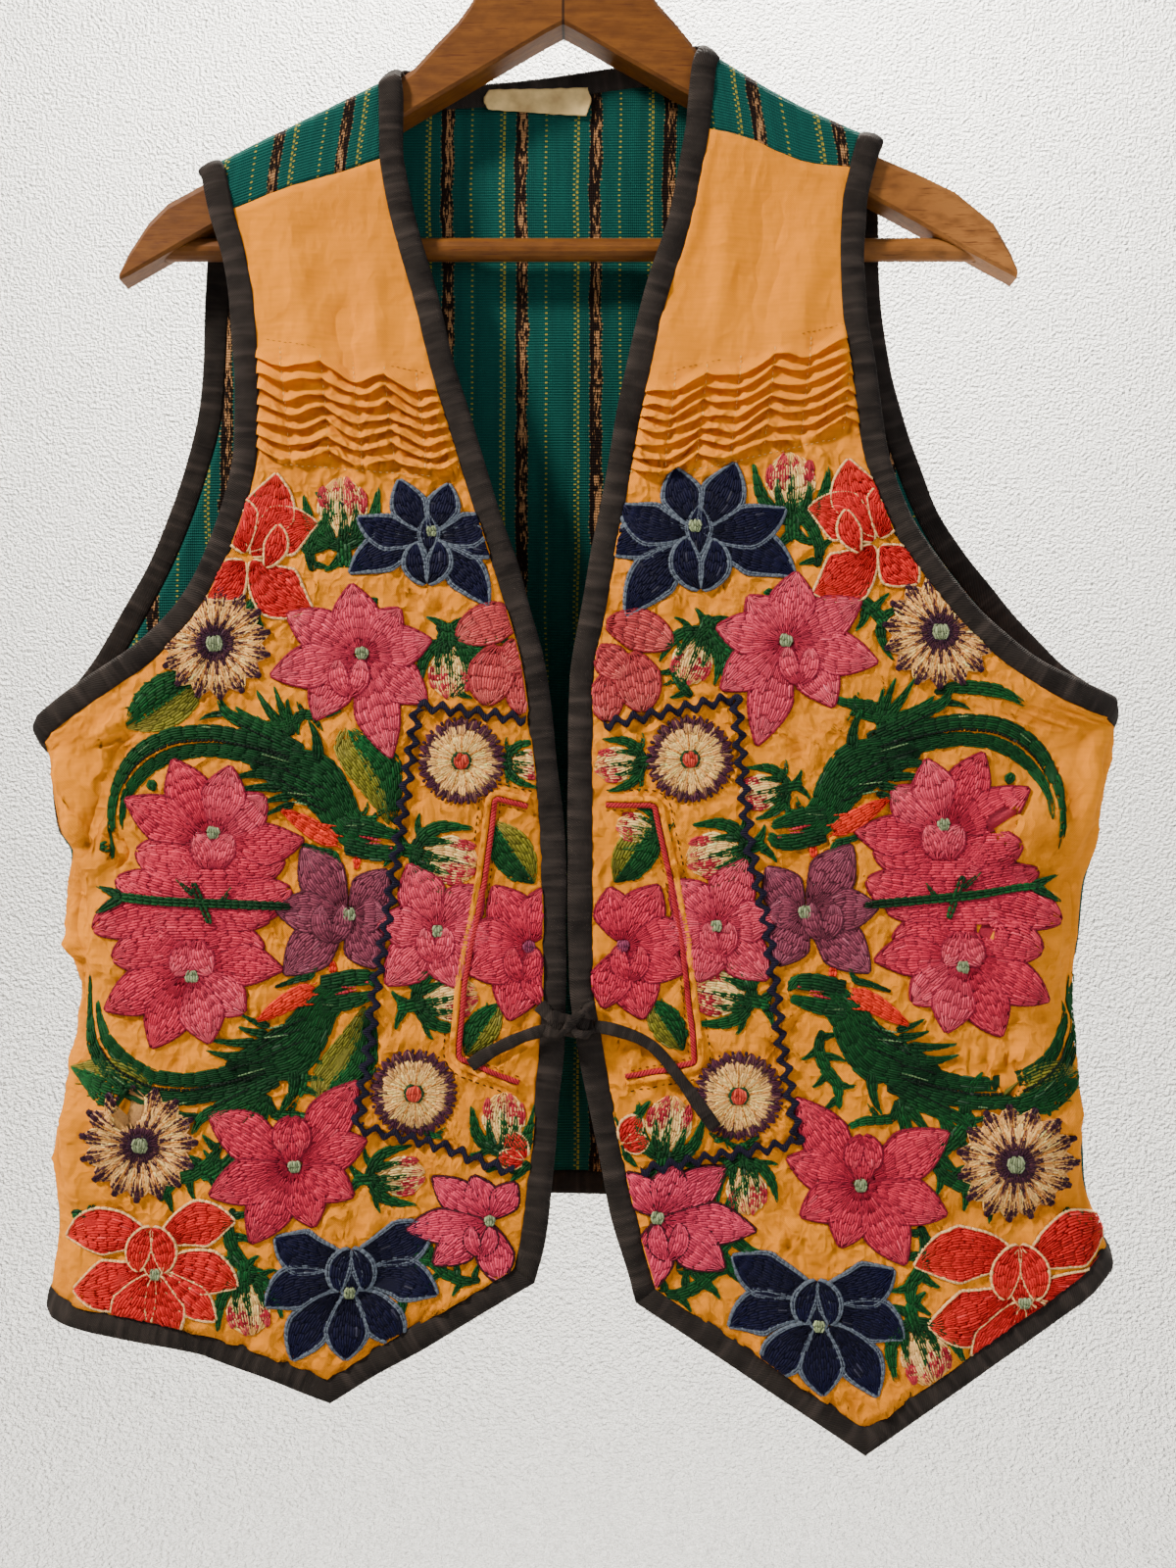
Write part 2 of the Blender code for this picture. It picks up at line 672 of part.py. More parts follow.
def strip(name, path, normal, away, profile, colour, closed=False, lead=None, trail=None):
    """A profile carried along a path. away: +1 or -1, the side of the path on which it lies.
    lead, trail: where the next strip's path goes on, so that this strip's end is mitred to it."""
    path = np.array(path)
    if closed:
        before = np.roll(path, 1, axis=0)
        after = np.roll(path, -1, axis=0)
    else:
        first = 2 * path[0] - path[1] if lead is None else lead
        last = 2 * path[-1] - path[-2] if trail is None else trail
        before = np.concatenate([[first], path[:-1]])
        after = np.concatenate([path[1:], [last]])
        path[0] += unit(path[1] - path[0]) * MITRE_CUT
        path[-1] += unit(path[-2] - path[-1]) * MITRE_CUT
    side_in = unit(np.cross(path - before, normal)) * away
    side_out = unit(np.cross(after - path, normal)) * away
    mitre = unit(side_in + side_out)
    stretch = 1 / np.clip(np.sum(mitre * side_in, axis=-1, keepdims=True), 0.5, 1)
    points = [path + mitre * stretch * p + normal * q for p, q in profile]
    points = np.stack(points, axis=1).reshape(-1, 3)
    return solid(name, points, ring_faces(len(path), len(profile), closed), colour)


def binding_profile(wall_thickness):
    """Folded bias tape beside the cloth's edge: flat faces and a rounded outer fold."""
    low = -BINDING_LIFT
    high = wall_thickness + BINDING_LIFT
    fold = 0.8
    near = SEAM_GAP + 0.08
    far = near + BINDING_WIDTH
    return [(near, low), (far - fold, low), (far, low + fold), (far, high - fold), (far - fold, high), (near, high)]


def tube(name, path, radius, sides, colour, roughness, metallic=0.0):
    """A round bar or wire along a path that lies in a plane of constant y."""
    path = np.asarray(path, float)
    tangent = unit(np.gradient(path, axis=0))
    across = np.array([0.0, 1.0, 0.0])
    other = unit(np.cross(tangent, across))
    angle = 2 * np.pi * np.arange(sides) / sides
    ring = (path[:, None] + radius * (np.cos(angle)[None, :, None] * across
                                      + np.sin(angle)[None, :, None] * other[:, None]))
    return solid(name, ring.reshape(-1, 3), ring_faces(len(path), sides, False), colour, roughness, metallic)


# ---------------------------------------------------------------- panels
def make_front(side):
    """One gold front: plain inside, the tucks raised in its outer points. Returns its grid."""
    girth, z = front_grid(side)
    inner = front_point(side, girth, z)
    normal = outward(lambda g, h: front_point(side, g, h), girth, z, np.array([0.0, 0.0, 0.0]) - (inner * [1, 1, 0]))
    lift, sway = tuck_relief(side, girth, z)
    outer = inner + normal * (FRONT_WALL + lift)[..., None]
    outer[..., 2] += sway
    wall("front_" + side, inner, outer, GOLD)
    return {"inner": inner, "normal": normal, "girth": girth, "z": z}


def make_yoke(side):
    """One shoulder yoke, over the hanger's arm."""
    inner = yoke_grid(side, 8)
    middle = np.array([inner[..., 0].mean(), 0.0, inner[..., 2].min() - 60.0])
    normal = grid_normals(inner, middle)
    wall("yoke_" + side, inner, inner + normal * BACK_WALL, GREEN)
    return {"inner": inner, "normal": normal}


def back_grid():
    """x and height of every point of the back: rows run down, columns from left to right."""
    seam_left = np.linspace(YOKE_ENDS["back"][1], YOKE_ENDS["back"][0], BACK_SEAM_COLUMNS + 1)
    seam_right = np.linspace(YOKE_ENDS["back"][2], YOKE_ENDS["back"][3], BACK_SEAM_COLUMNS + 1)
    neck = np.linspace(-YOKE_ENDS["back"][0], YOKE_ENDS["back"][2], BACK_NECK_COLUMNS + 1)[1:-1]
    drop = YOKE_BACK_DROP + SEAM_GAP
    top_x = np.concatenate([-seam_left, neck, seam_right])
    top_z = np.concatenate([
        yoke_point("left", seam_left, 0.0, drop)[:, 2],
        smooth(neck, BACK_NECK["x"], BACK_NECK["z"]),
        yoke_point("right", seam_right, 0.0, drop)[:, 2],
    ])
    ends = {}
    for side, corner in (("left", top_z[0]), ("right", top_z[-1])):
        z = np.concatenate([np.linspace(corner, UNDERARM[side], BACK_ROWS_ABOVE + 1),
                            np.linspace(UNDERARM[side], SIDE_HEM[side], BACK_ROWS_BELOW + 1)[1:]])
        ends[side] = (z, outer_girth(side, z, BACK_ARMHOLE[side], lambda at: math.pi - seam_turn(side, at)))
    z_left, out_left = ends["left"]
    z_right, out_right = ends["right"]
    out_left[0] = -top_x[0]
    out_right[0] = top_x[-1]
    share_top = (top_x - top_x[0]) / (top_x[-1] - top_x[0])
    share_even = np.linspace(0, 1, len(top_x))
    rows = len(z_left) - 1
    down = (np.arange(rows + 1) / rows)[:, None]
    u = blend(share_top[None, :], share_even[None, :], np.clip(down * 2, 0, 1))
    x = blend(-out_left[:, None], out_right[:, None], u)
    z = blend(z_left[:, None], z_right[:, None], u)
    z = z + np.clip(1 - down * 2, 0, 1) ** 1.3 * (top_z - z[0])
    hem_x = np.concatenate([[x[-1, 0]], BACK_HEM["x"][1:-1], [x[-1, -1]]])
    z = z + np.clip(down * 2 - 1, 0, 1) ** 1.3 * (smooth(x[-1], hem_x, BACK_HEM["z"]) - z[-1])
    return x, z


def make_back():
    """The back, one panel."""
    x, z = back_grid()
    inner = back_point(x, z)
    normal = outward(back_point, x, z, -(inner * [1, 1, 0]))
    wall("back", inner, inner + normal * BACK_WALL, GREEN)
    return {"inner": inner, "normal": normal}


# ---------------------------------------------------------------- bindings
def joined(*pieces):
    """Edge points and normals end to end, one point kept where two pieces meet at a seam."""
    path = []
    normal = []
    for points, normals in pieces:
        start = 0
        if path and np.linalg.norm(path[-1] - points[0]) < 4 * SEAM_GAP:
            path[-1] = (path[-1] + points[0]) / 2
            start = 1
        path.extend(points[start:])
        normal.extend(normals[start:])
    return np.array(path), unit(np.array(normal))


def edge_rows(side, last):
    """Rows of a front's edge that its binding follows: one in three within the tucks."""
    levels = FRONT_LEVELS[side]
    first = int(levels["rows"][1])
    end = first + TUCKS * TUCK_ROWS
    return [i for i in range(last + 1) if i <= first or i >= end or (i - first) % TUCK_ROWS == 0]


def make_bindings(fronts, yokes, back):
    """Bias binding beside every outer edge, each strip made from the edge points of its panels."""
    front_rows = fronts["left"]["inner"].shape[0] - 1
    rows = {side: edge_rows(side, front_rows) for side in SIDES}
    neck = slice(BACK_SEAM_COLUMNS, BACK_SEAM_COLUMNS + BACK_NECK_COLUMNS + 1)

    def column(piece, index, chosen=slice(None), step=1):
        return piece["inner"][chosen, index][::step], piece["normal"][chosen, index][::step]

    path, normal = joined(
        column(fronts["left"], 0, rows["left"], -1),
        column(yokes["left"], 0),
        (back["inner"][0, neck], back["normal"][0, neck]),
        column(yokes["right"], 0, step=-1),
        column(fronts["right"], 0, rows["right"]),
    )
    strip("binding_neck", path, normal, 1, binding_profile(FRONT_WALL), CHARCOAL,
          lead=fronts["left"]["inner"][-1, 1], trail=fronts["right"]["inner"][-1, 1])
    under = sum(int(n) for n in FRONT_LEVELS["left"]["rows"][:4])
    above = [i for i in rows["left"] if i <= under]
    for side, away in (("left", 1), ("right", -1)):
        back_column = 0 if side == "left" else -1
        path, normal = joined(
            column(fronts[side], -1, above, -1),
            column(yokes[side], -1),
            (back["inner"][: BACK_ROWS_ABOVE + 1, back_column], back["normal"][: BACK_ROWS_ABOVE + 1, back_column]),
        )
        path[0] = (path[0] + path[-1]) / 2
        normal[0] = unit(normal[0] + normal[-1])
        strip("binding_armhole_" + side, path[:-1], normal[:-1], -away, binding_profile(FRONT_WALL), CHARCOAL,
              closed=True)
    for side, away in (("left", -1), ("right", 1)):
        piece = fronts[side]
        strip("binding_hem_" + side, piece["inner"][-1], piece["normal"][-1], away,
              binding_profile(FRONT_WALL), CHARCOAL, lead=piece["inner"][-2, 0])
    strip("binding_hem_back", back["inner"][-1], back["normal"][-1], -1, binding_profile(BACK_WALL), CHARCOAL)


# ---------------------------------------------------------------- trim on the fronts, label
def along_route(rows, spacing):
    """Evenly spaced places and their sideways directions along a route given by its corners."""
    corners = np.stack([rows["out"], rows["z"]], axis=1)
    lengths = np.linalg.norm(np.diff(corners, axis=0), axis=1)
    reach = np.concatenate([[0], np.cumsum(lengths)])
    count = int(round(reach[-1] / spacing))
    at = np.linspace(0, reach[-1], count + 1)
    places = np.stack([np.interp(at, reach, corners[:, 0]), np.interp(at, reach, corners[:, 1])], axis=1)
    way = unit(np.gradient(places, axis=0))
    return places, np.stack([way[:, 1], -way[:, 0]], axis=1)


def make_trim(name, side, rows, spacing, width, thickness, sway, colour):
    """A flat strip on the front's outer face, swaying from side to side if it is a wavy braid."""
    places, sideways = along_route(rows, spacing)
    places = places + sideways * (sway * (-1.0) ** np.arange(len(places)))[:, None]
    low = FRONT_WALL + TRIM_CLEARANCE
    points = []
    high = low + thickness
    for offset, height in ((-width / 2, low), (width / 2, low), (width / 2, high), (-width / 2, high)):
        at = places + sideways * offset
        base = front_point(side, at[:, 0], at[:, 1])
        normal = outward(lambda g, h: front_point(side, g, h), at[:, 0], at[:, 1], -(base * [1, 1, 0]))
        points.append(base + normal * height)
    points = np.stack(points, axis=1).reshape(-1, 3)
    solid(name, points, ring_faces(len(places), 4, False), colour)


def make_label():
    """The bare label, sewn at the back neck and lying on the inner face of the back."""
    columns = 6
    share = np.linspace(0, 1, columns + 1)
    top_x = blend(LABEL_BOX["x"][0], LABEL_BOX["x"][1], share)
    top_z = blend(LABEL_BOX["z"][0], LABEL_BOX["z"][1], share)
    low_x = blend(LABEL_BOX["x"][3], LABEL_BOX["x"][2], share)
    low_z = blend(LABEL_BOX["z"][3], LABEL_BOX["z"][2], share)
    x = np.stack([top_x, low_x])
    z = np.stack([top_z, low_z])
    base = back_point(x, z)
    normal = outward(back_point, x, z, -(base * [1, 1, 0]))
    near = BINDING_LIFT + SEAM_GAP
    ripple = 0.25 * np.cos(share * 5 * math.pi)[None, :, None] * np.array([[[0.0]], [[1.0]]])
    wall("label", base - normal * (near + LABEL_WALL + 0.25 + ripple), base - normal * (near + 0.25 + ripple), CREAM)


# ---------------------------------------------------------------- ties
def make_tie(side):
    """A free tie end: folded bias tape, flat against the front, along its route."""
    rows = TIES[side]
    path = np.stack([rows["x"], rows["y"], rows["z"]], axis=1)
    tangent = unit(np.gradient(path, axis=0))
    flat = unit(np.cross(tangent, np.array([0.0, 1.0, 0.0])))
    out = unit(np.cross(tangent, flat))
    angle = 2 * np.pi * np.arange(8) / 8
    ring = (path[:, None] + TIE_WIDTH / 2 * np.cos(angle)[None, :, None] * flat[:, None]
            + TIE_THICKNESS / 2 * np.sin(angle)[None, :, None] * out[:, None])
    solid("tie_" + side, ring.reshape(-1, 3), ring_faces(len(path), 8, False), CHARCOAL)


def make_knot():
    """The knot: a squat ball of tape with a slanting bulge where one tie passes over the other."""
    rings = 8
    sides = 14
    points = [(0.0, 0.0, 1.0)]
    for i in range(1, rings):
        polar = math.pi * i / rings
        for j in range(sides):
            around = 2 * math.pi * j / sides
            points.append((math.sin(polar) * math.cos(around), math.sin(polar) * math.sin(around), math.cos(polar)))
    points.append((0.0, 0.0, -1.0))
    points = np.array(points)
    slant = np.arctan2(points[:, 2], points[:, 0])
    bulge = 1 + 0.10 * np.cos(2 * (slant - 0.6)) - 0.07 * np.cos(5 * slant)
    points = points * np.array(KNOT_HALF) * bulge[:, None] + np.array(KNOT_CENTRE)
    faces = [(0, 1 + j, 1 + (j + 1) % sides) for j in range(sides)]
    for i in range(rings - 2):
        here = 1 + i * sides
        for j in range(sides):
            k = (j + 1) % sides
            faces.append((here + j, here + sides + j, here + sides + k, here + k))
    last = 1 + (rings - 2) * sides
    faces.extend((last + j, len(points) - 1, last + (j + 1) % sides) for j in range(sides))
    solid("tie_knot", points, faces, CHARCOAL)


# ---------------------------------------------------------------- hanger
def hanger_section(top, under, half):
    """Rounded oblong section of the wood at one place, as y and z, from the top round."""
    soft = min(HANGER_TOP_ROUND, (top - under) * 0.45)
    firm = min(HANGER_UNDER_ROUND, (top - under) * 0.3)
    third = 0.3
    return [
        (-half + soft, top), (-half + soft * third, top - soft * third), (-half, top - soft),
        (-half, under + firm), (-half + firm, under),
        (half - firm, under), (half, under + firm),
        (half, top - soft), (half - soft * third, top - soft * third), (half - soft, top),
    ]


def make_hanger():
    """The wishbone of wood, with a bore for the hook's shank and one for each end of the bar."""
    rows = np.stack([HANGER["x"], HANGER["top"], HANGER["under"]], axis=1)
    middle = int(np.searchsorted(rows[:, 0], 0.0))
    rows = np.insert(rows, middle, HANGER_APEX, axis=0)
    points = []
    for x, top, under in rows:
        half = HANGER_HALF_THICKNESS - HANGER_TIP_TAPER * abs(x) / HANGER_HALF_SPAN
        points.extend((x, y, z) for y, z in hanger_section(top, under, half))
    arms = solid("hanger_arms", points, ring_faces(len(rows), 10, False), WOOD, 0.45)
    bore = tube("bar_bore", [(x, 0, BAR_HEIGHT) for x in (-197.4, 202.4)], BAR_RADIUS + SEAM_GAP, 16, WOOD, 0.5)
    shank = tube("shank_bore", [(0, 0, z) for z in (-96.4, -60.0)], WIRE_RADIUS + SEAM_GAP, 12, WOOD, 0.5)
    for cutter in (bore, shank):
        cutter.hide_render = True
        cutter.display_type = "WIRE"
        cut = arms.modifiers.new(cutter.name, "BOOLEAN")
        cut.operation = "DIFFERENCE"
        cut.object = cutter
    tube("hanger_bar", [(x, 0, BAR_HEIGHT) for x in (-197.0, 0.0, 202.0)], BAR_RADIUS, 16, WOOD, 0.45)
    centre = WIRE_RADIUS - HOOK_RADIUS
    route = [(0, 0, -96.0), (0, 0, -75.0), (0, 0, -54.0), (1.6, 0, -47.5), (6.6, 0, -41.2)]
    for degrees in range(-50, 206, 15):
        angle = math.radians(degrees)
        route.append((HOOK_RADIUS * math.cos(angle), 0, centre + HOOK_RADIUS * math.sin(angle)))
    tube("hanger_hook", route, WIRE_RADIUS, 8, STEEL, 0.25, 1.0)


# ---------------------------------------------------------------- the whole part
def main():
    for old in list(bpy.data.objects):
        bpy.data.objects.remove(old, do_unlink=True)
    fronts = {side: make_front(side) for side in SIDES}
    yokes = {side: make_yoke(side) for side in SIDES}
    back = make_back()
    make_bindings(fronts, yokes, back)
    for side in SIDES:
        make_trim("rickrack_" + side, side, BRAID[side], BRAID_WAVE / 2, BRAID_WIDTH, BRAID_THICKNESS,
                  BRAID_SWAY, NAVY)
        make_trim("piping_" + side, side, PIPING[side], PIPING_STEP, PIPING_WIDTH, PIPING_THICKNESS, 0.0, ROSE)
        make_tie(side)
    make_knot()
    make_label()
    make_hanger()


main()
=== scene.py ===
# %% [markdown]
# # An embroidered waistcoat on a wooden coat hanger
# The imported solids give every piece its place. This file dresses them: cloth is made again as thin,
# finely divided shells on the same worked-out surfaces, then thread by thread the embroidery is laid on.
# All sizes are in millimetres and become metres only when a mesh is made.

# %% Start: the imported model
import json
import math
import bpy
import numpy as np
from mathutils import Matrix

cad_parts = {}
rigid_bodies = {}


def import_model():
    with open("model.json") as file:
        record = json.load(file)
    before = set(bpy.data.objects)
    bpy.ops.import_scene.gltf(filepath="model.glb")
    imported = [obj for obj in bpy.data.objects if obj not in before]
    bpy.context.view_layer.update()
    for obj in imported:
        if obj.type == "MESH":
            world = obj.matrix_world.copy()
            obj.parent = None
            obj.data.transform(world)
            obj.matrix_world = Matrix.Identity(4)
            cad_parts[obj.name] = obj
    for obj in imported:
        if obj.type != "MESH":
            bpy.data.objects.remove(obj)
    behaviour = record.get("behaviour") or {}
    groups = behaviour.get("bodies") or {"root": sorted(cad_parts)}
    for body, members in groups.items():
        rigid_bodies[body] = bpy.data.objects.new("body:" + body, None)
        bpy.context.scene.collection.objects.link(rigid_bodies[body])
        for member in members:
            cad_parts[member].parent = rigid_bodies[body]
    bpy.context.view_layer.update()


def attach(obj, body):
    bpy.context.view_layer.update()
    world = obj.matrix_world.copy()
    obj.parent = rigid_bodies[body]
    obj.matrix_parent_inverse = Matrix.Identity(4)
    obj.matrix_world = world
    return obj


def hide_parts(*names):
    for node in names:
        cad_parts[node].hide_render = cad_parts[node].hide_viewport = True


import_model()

# %% Small tools
MM = 0.001
SIDES = {"left": -1.0, "right": 1.0}


def linear(hex_colour):
    """sRGB hex to linear: c/12.92 below 0.04045, else ((c + 0.055)/1.055) to the power 2.4."""
    values = [int(hex_colour[i:i + 2], 16) / 255 for i in (1, 3, 5)]
    return [v / 12.92 if v <= 0.04045 else ((v + 0.055) / 1.055) ** 2.4 for v in values]


def table(columns, rows):
    """Named columns of a short table, each as an array."""
    return {name: np.array([row[i] for row in rows]) for i, name in enumerate(columns.split())}


def both(columns, left, right):
    """The same table for the left and for the right side."""
    return {"left": table(columns, left), "right": table(columns, right)}


def blend(a, b, t):
    """a at t = 0, b at t = 1, and in proportion between."""
    return a + (b - a) * t


def unit(vectors):
    """The same directions at length 1."""
    return vectors / np.maximum(np.linalg.norm(vectors, axis=-1, keepdims=True), 1e-9)


def reach_of(points):
    """The length along a path at each of its points."""
    return np.concatenate([[0], np.cumsum(np.linalg.norm(np.diff(points, axis=0), axis=1))])


def smooth(at, xs, ys):
    """A monotone cubic through the points: each slope is the harmonic mean of its neighbours'."""
    order = np.argsort(xs)
    xs = xs[order].astype(float)
    ys = ys[order].astype(float)
    run = np.diff(xs)
    rise = np.diff(ys) / run
    slope = np.concatenate([[rise[0]], np.zeros(len(xs) - 2), [rise[-1]]])
    same = rise[:-1] * rise[1:] > 0
    slope[1:-1][same] = 2 * rise[:-1][same] * rise[1:][same] / (rise[:-1][same] + rise[1:][same])
    at = np.asarray(at, float)
    inside = np.clip(at, xs[0], xs[-1])
    cell = np.clip(np.searchsorted(xs, inside) - 1, 0, len(run) - 1)
    t = (inside - xs[cell]) / run[cell]
    value = (ys[cell] * (2 * t**3 - 3 * t**2 + 1) + ys[cell + 1] * (3 * t**2 - 2 * t**3)
             + run[cell] * (slope[cell] * (t**3 - 2 * t**2 + t) + slope[cell + 1] * (t**3 - t**2)))
    return value + np.minimum(at - xs[0], 0) * slope[0] + np.maximum(at - xs[-1], 0) * slope[-1]


def ripple(x, z, size, seed, waves=9):
    """Uneven ripples: a sum of sines in random directions, their lengths near `size` mm, within -1 to 1."""
    rng = np.random.default_rng(seed)
    total = 0.0
    for angle, length, phase in rng.uniform((0, 0.6, 0), (math.pi, 1.7, 2 * math.pi), (waves, 3)):
        along = x * math.cos(angle) + z * math.sin(angle)
        total = total + np.sin(along * 2 * math.pi / (size * length) + phase)
    return total / waves * 1.6

# %% [markdown]
# ## The camera
# It stands level with the middle of the waistcoat, 0.8 m in front of it and a little to the right.

# %% Camera
camera_data = bpy.data.cameras.new("camera")
camera_data.lens = 38.25
camera_data.sensor_width = 36.0
camera = bpy.data.objects.new("camera", camera_data)
camera.location = (0.0118, -0.8, -0.4864)
camera.rotation_euler = (math.pi / 2, 0.0, 0.0)
bpy.context.scene.collection.objects.link(camera)
bpy.context.scene.camera = camera

# %% [markdown]
# ## Meshes
# A surface is a grid of points with two parameters. A wall of cloth is two such grids joined round the
# rim, and a strip or cord is a profile carried along a path. Each becomes a mesh in one go.

# %% Mesh makers
def put(name, points, faces, material, uv=None, thread=None):
    """A closed mesh piece from points in mm. The faces of an array are turned outwards if its volume is
    negative; those of a list of lists already face outwards.
    uv: a place in mm for every point. thread: a colour for every point."""
    points = np.asarray(points, float) * MM
    if not isinstance(faces, list):
        a, b, c = (points[faces[:, i]] for i in (0, 1, 2))
        volume = np.einsum("ij,ij->", a, np.cross(b, c))
        if faces.shape[1] == 4:
            d = points[faces[:, 3]]
            volume += np.einsum("ij,ij->", a, np.cross(c, d))
        faces = (faces if volume > 0 else faces[:, ::-1]).tolist()
    mesh = bpy.data.meshes.new(name)
    mesh.from_pydata(points.tolist(), [], faces)
    if uv is not None:
        layer = mesh.uv_layers.new(name="cut")
        corner = np.empty(len(mesh.loops), dtype=np.int32)
        mesh.loops.foreach_get("vertex_index", corner)
        layer.data.foreach_set("uv", np.asarray(uv, np.float32)[corner].ravel())
    if thread is not None:
        colours = mesh.color_attributes.new(name="thread", type="FLOAT_COLOR", domain="POINT")
        rgba = np.concatenate([thread, np.ones((len(thread), 1))], axis=1)
        colours.data.foreach_set("color", rgba.astype(np.float32).ravel())
    mesh.polygons.foreach_set("use_smooth", [len(face) <= 4 for face in faces])
    mesh.materials.append(material)
    piece = bpy.data.objects.new(name, mesh)
    bpy.context.scene.collection.objects.link(piece)
    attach(piece, "root")
    print(name, "faces", len(faces))
    return piece


def grid_faces(rows, columns):
    """Quads between the points of a grid, numbered row by row."""
    number = np.arange(rows * columns).reshape(rows, columns)
    return np.stack([number[:-1, :-1], number[:-1, 1:], number[1:, 1:], number[1:, :-1]], -1).reshape(-1, 4)


def rim_of(rows, columns):
    """The numbers of a grid's outermost points, once round."""
    number = np.arange(rows * columns).reshape(rows, columns)
    return np.concatenate([number[0, :-1], number[:-1, -1], number[-1, :0:-1], number[:0:-1, 0]])


def wall_faces(rows, columns):
    """Faces of a wall between two grids, closed round its rim."""
    count = rows * columns
    face = grid_faces(rows, columns)
    rim = rim_of(rows, columns)
    after = np.roll(rim, -1)
    side = np.stack([after, rim, count + rim, count + after], axis=1)
    return np.concatenate([face, face[:, ::-1] + count, side])


def wall(name, inner, outer, uv, material, slot, shade_and_dirt=None):
    """A closed wall of cloth. The last argument darkens its outer face, 0 to 1: painted shade and dirt."""
    rows, columns = inner.shape[:2]
    points = np.concatenate([inner.reshape(-1, 3), outer.reshape(-1, 3)])
    uv = np.tile(uv.reshape(-1, 2), (2, 1))
    if shade_and_dirt is not None:
        shade_and_dirt = np.repeat(np.concatenate([np.zeros(shade_and_dirt.size), shade_and_dirt.ravel()])[:, None], 3, axis=1)
    return put(name, points, wall_faces(rows, columns), material, uv=uv, thread=shade_and_dirt)


def local_mean(values, rows, columns):
    """The mean of a grid of values over a window round each, by running sums."""
    for axis, reach in ((0, rows), (1, columns)):
        size = values.shape[axis]
        total = np.insert(np.cumsum(values, axis=axis), 0, 0.0, axis=axis)
        high = np.minimum(np.arange(size) + reach + 1, size)
        low = np.maximum(np.arange(size) - reach, 0)
        spread = (high - low)[:, None] if axis == 0 else (high - low)[None, :]
        values = (np.take(total, high, axis=axis) - np.take(total, low, axis=axis)) / spread
    return values


def tube_faces(stations, sides, closed=False):
    """Quads round a tube; an open tube is closed at each end by a fold of quads across it."""
    i, j = np.meshgrid(np.arange(stations if closed else stations - 1), np.arange(sides), indexing="ij")
    there = (i + 1) % stations
    faces = np.stack([i * sides + j, i * sides + (j + 1) % sides,
                      there * sides + (j + 1) % sides, there * sides + j], -1).reshape(-1, 4)
    if closed:
        return faces
    half = np.arange(sides // 2 - 1)
    lid = np.stack([half, half + 1, sides - 2 - half, sides - 1 - half], axis=1)
    return np.concatenate([faces, lid[:, ::-1], lid + (stations - 1) * sides])


def carried(name, path, side, up, profile, material, closed=False):
    """profile: (stations, sides, 2) places, sideways and upwards, at every station of the path."""
    points = path[:, None] + side[:, None] * profile[..., :1] + up[:, None] * profile[..., 1:]
    uv = np.stack([np.broadcast_to(reach_of(path)[:, None], profile.shape[:2]), profile.sum(axis=-1)], -1)
    return put(name, points.reshape(-1, 3), tube_faces(*profile.shape[:2], closed), material,
               uv=uv.reshape(-1, 2))

# %% [markdown]
# ## Finishes
# One function makes a material, one adds a node with its settings and links. Cloth is rough and has a
# little sheen from its loose fibres. Patterns are sized in millimetres.

# %% Material makers
def finish_of(name, roughness, metallic=0.0, glint=0.2):
    """A new material with its shader's plain numbers set, and its node tree."""
    made = bpy.data.materials.new(name)
    made.use_nodes = True
    shader = made.node_tree.nodes["Principled BSDF"]
    for key, value in (("Roughness", roughness), ("Metallic", metallic), ("Specular IOR Level", glint)):
        shader.inputs[key].default_value = value
    return made, made.node_tree, shader


def node(tree, kind, settings=None, **links):
    """Adds a node. settings: attributes by name. links: an input's name, spaces as _, or n and its
    number, to a value or a socket."""
    made = tree.nodes.new(kind)
    for key, value in (settings or {}).items():
        setattr(made, key, value)
    for key, value in links.items():
        socket = made.inputs[int(key[1:]) if key[1:].isdigit() else key.replace("_", " ")]
        if isinstance(value, bpy.types.NodeSocket):
            tree.links.new(value, socket)
        else:
            socket.default_value = value
    return made


def calc(tree, operation, a, b=0.0, c=0.0):
    """One step of arithmetic on sockets and numbers."""
    return node(tree, "ShaderNodeMath", {"operation": operation}, n0=a, n1=b, n2=c).outputs[0]


def mixed(tree, share, first, second):
    """Colour between two: each a hex string or a socket."""
    pair = [(*linear(c), 1.0) if isinstance(c, str) else c for c in (first, second)]
    return node(tree, "ShaderNodeMix", {"data_type": "RGBA"}, n0=share, n6=pair[0], n7=pair[1]).outputs[2]


def noise(tree, vector, size_mm, detail, stretch=(1, 1, 1), unit_mm=1000.0):
    """Noise whose lumps are about size_mm across. unit_mm: millimetres in one unit of the vector."""
    scaled = node(tree, "ShaderNodeMapping", Vector=vector, Scale=[s * unit_mm / size_mm for s in stretch])
    made = node(tree, "ShaderNodeTexNoise", Vector=scaled.outputs[0], Scale=1.0, Detail=detail)
    return made.outputs["Fac"]


def sine(tree, value, length):
    """A sine along a value, one turn in `length` mm, from -1 to 1."""
    return calc(tree, "SINE", calc(tree, "MULTIPLY", value, 2 * math.pi / length))


def raised(tree, wave):
    """A wave from -1 to 1 brought to 0 to 1."""
    return calc(tree, "MULTIPLY_ADD", wave, 0.5, 0.5)


def threads(tree, u, v, pitch):
    """Plain weave: the product of two sines, one each way, of thread spacing `pitch` in mm."""
    return raised(tree, calc(tree, "MULTIPLY", sine(tree, u, pitch), sine(tree, v, pitch)))


def object_place(tree):
    """The place in the frame, in metres."""
    return node(tree, "ShaderNodeTexCoord").outputs["Object"]


def part_of(tree, vector, axis):
    """One part of a vector: X, Y or Z."""
    return node(tree, "ShaderNodeSeparateXYZ", Vector=vector).outputs[axis]


def cut_place(tree):
    """The piece's own flat pattern in mm, as a vector and its two parts."""
    place = node(tree, "ShaderNodeUVMap", {"uv_map": "cut"}).outputs[0]
    return place, part_of(tree, place, "X"), part_of(tree, place, "Y")


